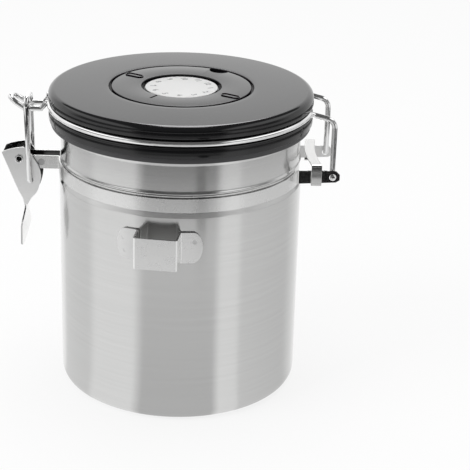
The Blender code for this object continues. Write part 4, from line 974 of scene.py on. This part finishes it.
def date_ring():
    edge_z = LID_TOP_Z - RING_EDGE
    profile = arc((RING_HOLE_RADIUS + RING_EDGE, edge_z), RING_EDGE, pi, pi / 2, RING_EDGE_STEPS)
    profile += arc((DATE_RING_RADIUS - RING_EDGE, edge_z), RING_EDGE, pi / 2, 0.0, RING_EDGE_STEPS)
    profile += [(DATE_RING_RADIUS, DATE_RING_LOW_Z), (RING_LEDGE_RADIUS, DATE_RING_LOW_Z),
                (RING_LEDGE_RADIUS, LEDGE_TOP_Z), (RING_HOLE_RADIUS, LEDGE_TOP_Z)]
    ring = lathe("date_ring_moulded", profile, BLACK, closed=True)
    end = GRIP_WIDTH / 2
    straight = GRIP_LENGTH / 2 - end
    grips, dishes = [], []
    for azimuth in GRIP_AZIMUTHS:
        outward = Matrix.Translation((GRIP_OUTER_RADIUS - GRIP_LENGTH / 2, 0.0, 0.0))
        for tools, rim, low, high in ((grips, 0.0, -GRIP_HEIGHT, GRIP_HEIGHT),
                                      (dishes, GRIP_RIM, GRIP_DISH_RISE, 2 * GRIP_HEIGHT)):
            outline = arc((straight, 0.0), end - rim, -pi / 2, pi / 2, GRIP_END_STEPS)
            outline += arc((-straight, 0.0), end - rim, pi / 2, 3 * pi / 2, GRIP_END_STEPS)
            bar = prism("grip_bar", outline, LID_TOP_Z + low, LID_TOP_Z + high, BLACK, "XY")
            bar.data.transform(Matrix.Rotation(azimuth, 4, "Z") @ outward)
            tools.append(bar)
    apply_tools(ring, grips, "UNION")
    apply_tools(ring, dishes)
    notch = cutter("ring_notch", NOTCH_RADIUS, LID_TOP_Z - NOTCH_DEPTH, LID_TOP_Z + CUT_OVERRUN,
                   place=(*at_azimuth(DATE_RING_RADIUS, NOTCH_AZIMUTH), 0.0), steps=MIDDLE_STEPS)
    line = block("ring_index", (INDEX_LENGTH, INDEX_WIDTH, 2 * INDEX_DEPTH),
                 RING_HOLE_RADIUS + INDEX_LENGTH / 2, INDEX_AZIMUTH, LID_TOP_Z)
    apply_tools(ring, [notch, line])
    soften(ring, RING_CUT_EDGE)
    dress(ring, "ring", "gloss_black", "date_ring")


NUMERAL_COUNT = 12
NUMERAL_RADIUS = 0.0146
NUMERAL_SIZE = 0.0041
NUMERAL_TOP_AZIMUTH = INDEX_AZIMUTH + radians(150.0)
NUMERAL_HEIGHT = 0.00003
NUMERAL_BOLD = 0.00010


def month_dial():
    profile = [(0.0, DIAL_TOP_Z), (DIAL_RADIUS, DIAL_TOP_Z), (DIAL_RADIUS, DIAL_LOW_Z), (0.0, DIAL_LOW_Z)]
    dial = lathe("dial_disc", eased(profile, DIAL_EDGE), WHITE, MIDDLE_STEPS * 2)
    dress(dial, "lid", "dial_white", "month_dial")
    for month in range(1, NUMERAL_COUNT + 1):
        azimuth = NUMERAL_TOP_AZIMUTH - 2 * pi * month / NUMERAL_COUNT
        curve = bpy.data.curves.new("numeral_%d" % month, "FONT")
        curve.body = str(month)
        curve.size = NUMERAL_SIZE
        curve.align_x = "CENTER"
        curve.align_y = "CENTER"
        curve.extrude = NUMERAL_HEIGHT
        curve.offset = NUMERAL_BOLD
        curve.materials.append(PRINT)
        numeral = new_object("numeral_%d" % month, curve)
        numeral.location = (*at_azimuth(NUMERAL_RADIUS, azimuth), DIAL_TOP_Z)
        numeral.rotation_euler = (0.0, 0.0, NUMERAL_TOP_AZIMUTH - pi / 2)
        dress(numeral, "lid", "dial_white")


# Bracket
def scoop_holder():
    seat = BODY_RADIUS + FIT + BRACKET_SHEET / 2
    wall = BRACKET_HALF_WIDTH - BRACKET_SHEET / 2
    root_angle = asin(wall / seat)
    front = BODY_RADIUS + BRACKET_DEPTH - BRACKET_SHEET / 2
    tab_angle = root_angle + TAB_LENGTH / seat
    reaches = [TAB_END * (1 - cos(pi / 2 * k / TAB_END_STEPS)) for k in range(TAB_END_STEPS)]
    reaches += [TAB_END + (TAB_LENGTH - TAB_END) * k / TAB_STEPS for k in range(TAB_STEPS + 1)]
    corners = [at_azimuth(seat, pi / 2 + tab_angle - reach / seat) for reach in reaches] + [(-wall, front)]
    radii = [0.0] * (len(reaches) - 1) + [BRACKET_BEND] * 2
    path = flat_route(corners + [(-x, y) for x, y in reversed(corners)], radii + radii[::-1],
                      SHEET_BEND_STEPS)
    middle = BRACKET_LOW_Z + BRACKET_HEIGHT / 2
    spans = []
    for p in path:
        half = BRACKET_HEIGHT / 2
        arc_left = (tab_angle - abs(atan2(p.x, p.y))) * seat
        if p.length < seat + BRACKET_SHEET and arc_left < TAB_END:
            fraction = min(max(arc_left / TAB_END, 0.0), 1.0)
            half *= max(sqrt(1 - (1 - fraction) ** 2), BRACKET_SHEET / BRACKET_HEIGHT)
        spans.append((middle - half, middle + half))
    turn = Matrix.Rotation(BRACKET_AZIMUTH - pi / 2, 3, "Z")
    bracket = strip("bracket_folded", path, BRACKET_SHEET, spans, lambda p, z: turn @ Vector((p.x, p.y, z)),
                    BRACKET_STEEL)
    marks, places = [], []
    for across, up in TAB_MARKS:
        angle = across / seat
        outward = turn @ Vector((sin(angle), cos(angle), 0.0))
        place = outward * (seat + BRACKET_SHEET / 2) + Vector((0.0, 0.0, middle + up))
        marks.append(weld_mark("tab_weld", place, outward, TAB_WELD_RADIUS))
        places.append(place)
    apply_tools(bracket, marks)

    def on_box(face):
        return face.center.xy.length > seat + BRACKET_SHEET

    def faces_in(face):
        return face.normal.xy.dot(face.center.xy.normalized()) < -FACING

    # The box's inner faces are painted darker: painted shade.
    paint(bracket, (BRACKET_INSIDE_SHADE, lambda face: on_box(face) and faces_in(face)),
          (TAB_WELD, lambda face: any(in_weld(face, place, TAB_WELD_RADIUS) for place in places)),
          # The left tab is painted darker and duller than the right: painted shade.
          (LEFT_TAB_SHADE_STEEL, lambda face: not on_box(face) and face.center.x < 0.0))
    soften(bracket, BRACKET_EDGE, 3)
    dress(bracket, "root", "brushed_steel", "scoop_holder")


canister_body()
strap_half("strap_front", -1, "front_band")
strap_half("strap_rear", 1, "rear_band")
hinge_clip()
latch_rivet()
latch_lever()
draw_link()
lid_wire()
lid_shell()
lid_base()
lid_gasket()
date_ring()
month_dial()
scoop_holder()

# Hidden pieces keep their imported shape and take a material
NODE_MATERIALS = {"dial_hub": BLACK, "valve_seat": BLACK, "valve_cover": BLACK, "valve_disc": CLEAR_SILICONE,
                  "valve_filter": PAPER, "hub_screw": SCREW_STEEL}
NODE_MATERIALS.update(("lid_screw_%d" % (k + 1), SCREW_STEEL) for k in range(LID_SCREW_COUNT))
for node_name, material in NODE_MATERIALS.items():
    for material_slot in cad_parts[node_name].material_slots:
        material_slot.material = material


# Light and camera
def window(start, full, fading, end, tone=1.0):
    """Stops of a share by azimuth: nothing but for a stretch with soft ends."""
    return [(-0.50, 0.0), (start, 0.0), (full, tone), (fading, tone), (end, 0.0), (0.50, 0.0)]


# Tones of the studio round the can, by azimuth from the front (-0.5 to 0.5 of a turn, positive to the right)
AZIMUTH_TONES = [(-0.50, 1.05), (-0.41, 1.00), (-0.385, 0.82), (-0.26, 0.82), (-0.235, 0.98), (0.11, 0.97),
                 (0.165, 0.94), (0.18, 0.78), (0.35, 0.68), (0.40, 0.82), (0.50, 1.05)]
# Share of the front sweep on the floor, by the same azimuth, and its tones by distance from the can's axis
FLOOR_REACH = 0.60
FRONT_SHARES = window(-0.115, -0.086, 0.098, 0.119)
FRONT_TONES = [(0.00, 0.62), (0.10, 0.62), (0.20, 0.66), (0.30, 0.74), (0.352, 0.84), (0.366, 0.36),
               (0.385, 0.32), (0.405, 0.36), (0.425, 0.46), (0.442, 0.56), (0.452, 0.34), (0.462, 0.10),
               (0.60, 0.04)]
# The dark room in front: beyond the sweep on the floor, and above the horizon
ROOM_SHARES = window(-0.115, -0.085, 0.10, 0.13)
ROOM_SIDE_SHARES = window(-0.30, -0.25, 0.25, 0.30, 0.80)
ROOM_TONE = 0.04
ROOM_SPAN = (0.452, 0.464)
ROOM_RISE = (0.0, 0.10)
# A dark strip round the can on the floor, seen in the lid's side
STRIP_SPAN = (0.545, 0.570)
STRIP_SHARE = 0.88
# The upper part of the studio is dark but for a panel at each side and a small bright one behind the can
WALL_GAIN = 1.15
UPPER_SPAN = (0.46, 0.50)
UPPER_TONE = 0.12
SIDE_PANEL_SPAN = (0.50, 0.60)
SIDE_PANEL_TONE = 1.30
BACK_PANEL_SIDE = (0.10, 0.12)
BACK_PANEL_TOP = (0.94, 0.96)
BACK_PANEL_TONE = 6.0
# A dark card on the floor, seen in the hinge's front face
CARD_PLACE = (0.125, -0.337, 0.0)
CARD_SPAN = (0.026, 0.034)
CARD_TONE = 0.01
# The light of the surroundings, and the pale floor: its paint and its share of plain white for the camera
WHITE_LIGHT = (1.0, 1.0, 1.0, 1.0)
FILL_STRENGTH = 0.72
FLOOR_SIZE = 4.0
FLOOR_Z = -0.0001
FLOOR_PAINT = (0.90, 0.90, 0.90, 1.0)
FLOOR_WHITE_SHARE = 0.80
# Soft lamps: name, place, target, size and power
LAMPS = (("lamp_left", (-0.9, -0.5, 0.9), (0.0, 0.0, 0.08), (0.7, 0.9), 5.5),
         ("lamp_top", (0.1, 0.2, 1.3), (0.0, 0.0, 0.1), (0.9, 0.9), 4.0))


def azimuth_of(tree, parts):
    """The azimuth from the front of a direction that is given by its parts, in radians."""
    return tree.math("ARCTAN2", parts[0], tree.math("MULTIPLY", parts[1], -1.0))


def azimuth_ramp(tree, turn, stops):
    share = tree.math("MULTIPLY_ADD", turn, 0.5 / pi, 0.5)
    return tree.ramp(share, [(place + 0.5, tone) for place, tone in stops])


def reflected_azimuth(tree, turn, distance):
    """The direction in which a ray left the can's side, from where it meets the floor."""
    direction = turn
    for _ in range(3):
        side = tree.math("MULTIPLY", tree.math("SINE", tree.math("MULTIPLY", direction, 0.5)), BODY_RADIUS)
        off_axis = tree.math("ARCSINE", tree.math("DIVIDE", side, distance))
        direction = tree.math("ADD", turn, off_axis)
    return direction


def studio_tone(tree, direction):
    """What shiny surfaces see above the floor: walls, the dark room in front and the panels higher up."""
    parts = tree.add("SeparateXYZ", {0: direction}).outputs
    turn = azimuth_of(tree, parts)
    wall = tree.math("MULTIPLY", azimuth_ramp(tree, turn, AZIMUTH_TONES), WALL_GAIN)
    sides = azimuth_ramp(tree, turn, ROOM_SIDE_SHARES)
    room = tree.math("MAXIMUM", azimuth_ramp(tree, turn, ROOM_SHARES), sides)
    room = tree.math("MULTIPLY", room, tree.remap(parts[2], *ROOM_RISE))
    wall = tree.blend(room, wall, ROOM_TONE)
    sideways = tree.math("ABSOLUTE", parts[0])
    upper = tree.blend(tree.remap(sideways, *SIDE_PANEL_SPAN), UPPER_TONE, SIDE_PANEL_TONE)
    narrow = tree.remap(sideways, *BACK_PANEL_SIDE, 1.0, 0.0)
    below = tree.remap(parts[2], *BACK_PANEL_TOP, 1.0, 0.0)
    behind = tree.math("GREATER_THAN", parts[1], 0.0)
    lit = tree.math("MULTIPLY", behind, tree.math("MULTIPLY", narrow, below))
    upper = tree.blend(lit, upper, BACK_PANEL_TONE)
    return tree.blend(tree.remap(parts[2], *UPPER_SPAN), wall, upper)


def floor_tone(tree, place):
    """What shiny surfaces see on the floor: the walls' tones, the front sweep, and the dark parts far off."""
    parts = tree.add("SeparateXYZ", {0: place}).outputs
    distance = tree.add("VectorMath", {0: place}, operation="LENGTH").outputs["Value"]
    turn = reflected_azimuth(tree, azimuth_of(tree, parts), distance)
    wall = azimuth_ramp(tree, turn, AZIMUTH_TONES)
    front = azimuth_ramp(tree, turn, FRONT_SHARES)
    reach = tree.math("DIVIDE", distance, FLOOR_REACH)
    sweep_tone = tree.ramp(reach, [(far / FLOOR_REACH, tone) for far, tone in FRONT_TONES])
    tone = tree.blend(front, wall, sweep_tone)
    strip_share = tree.remap(distance, *STRIP_SPAN, STRIP_SHARE, 0.0)
    dark = tree.blend(azimuth_ramp(tree, turn, ROOM_SHARES), strip_share, 1.0)
    room = tree.math("MULTIPLY", dark, tree.remap(distance, *ROOM_SPAN))
    tone = tree.blend(room, tone, ROOM_TONE)
    card = tree.add("VectorMath", {0: place, 1: CARD_PLACE}, operation="DISTANCE")
    inside = tree.remap(card.outputs["Value"], *CARD_SPAN, 1.0, 0.0)
    return tree.blend(inside, tone, CARD_TONE)


def make_world():
    world = bpy.data.worlds.new("studio")
    bpy.context.scene.world = world
    world.use_nodes = True
    world.node_tree.nodes.clear()
    tree = Tree(world.node_tree)
    tone = studio_tone(tree, tree.add("TexCoord").outputs["Generated"])
    plain, mirrored, white = (tree.glow(color, strength, "Background") for color, strength in
                              ((WHITE_LIGHT, FILL_STRENGTH), (tone, 1.0), (WHITE_LIGHT, 1.0)))
    tree.add("OutputWorld", {"Surface": tree.by_ray(plain, mirrored, white)})


def make_floor():
    bm = bmesh.new()
    bmesh.ops.create_grid(bm, x_segments=1, y_segments=1, size=FLOOR_SIZE)
    bmesh.ops.translate(bm, verts=bm.verts, vec=(0.0, 0.0, FLOOR_Z))
    material = bpy.data.materials.new("pale_floor")
    material.use_nodes = True
    material.node_tree.nodes.clear()
    tree = Tree(material.node_tree)
    tone = floor_tone(tree, tree.add("TexCoord").outputs["Object"])
    plain = tree.add("BsdfDiffuse", {"Color": FLOOR_PAINT}).outputs[0]
    shown = tree.mix(FLOOR_WHITE_SHARE, plain, tree.glow(WHITE_LIGHT))
    tree.add("OutputMaterial", {"Surface": tree.by_ray(plain, tree.glow(tone), shown)})
    finish_mesh("floor", bm, material)


def soft_lamp(name, place, target, size, power):
    light = bpy.data.lights.new(name, "AREA")
    light.shape = "RECTANGLE"
    light.size, light.size_y = size
    light.energy = power
    lamp = new_object(name, light)
    lamp.location = place
    lamp.rotation_euler = (Vector(target) - Vector(place)).to_track_quat("-Z", "Y").to_euler()
    lamp.visible_glossy = False


IMAGE_SIZE = 470
SENSOR = 36.0
FOCAL_PIXELS = 1519.38
CAMERA_PLACE = (0.029251, -0.743298, 0.381753)
CAMERA_PITCH = radians(22.246)
CAMERA_ROLL = radians(-1.587)
CAMERA_NEAR = 0.01


def make_camera():
    data = bpy.data.cameras.new("camera")
    data.sensor_width = SENSOR
    data.lens = SENSOR * FOCAL_PIXELS / IMAGE_SIZE
    data.clip_start = CAMERA_NEAR
    camera = new_object("camera", data)
    tilt = Matrix.Rotation(pi / 2 - CAMERA_PITCH, 4, "X")
    camera.matrix_world = Matrix.Translation(CAMERA_PLACE) @ tilt @ Matrix.Rotation(-CAMERA_ROLL, 4, "Z")
    bpy.context.scene.camera = camera


make_world()
make_floor()
for lamp_values in LAMPS:
    soft_lamp(*lamp_values)
make_camera()
bpy.context.scene.view_settings.view_transform = "Standard"
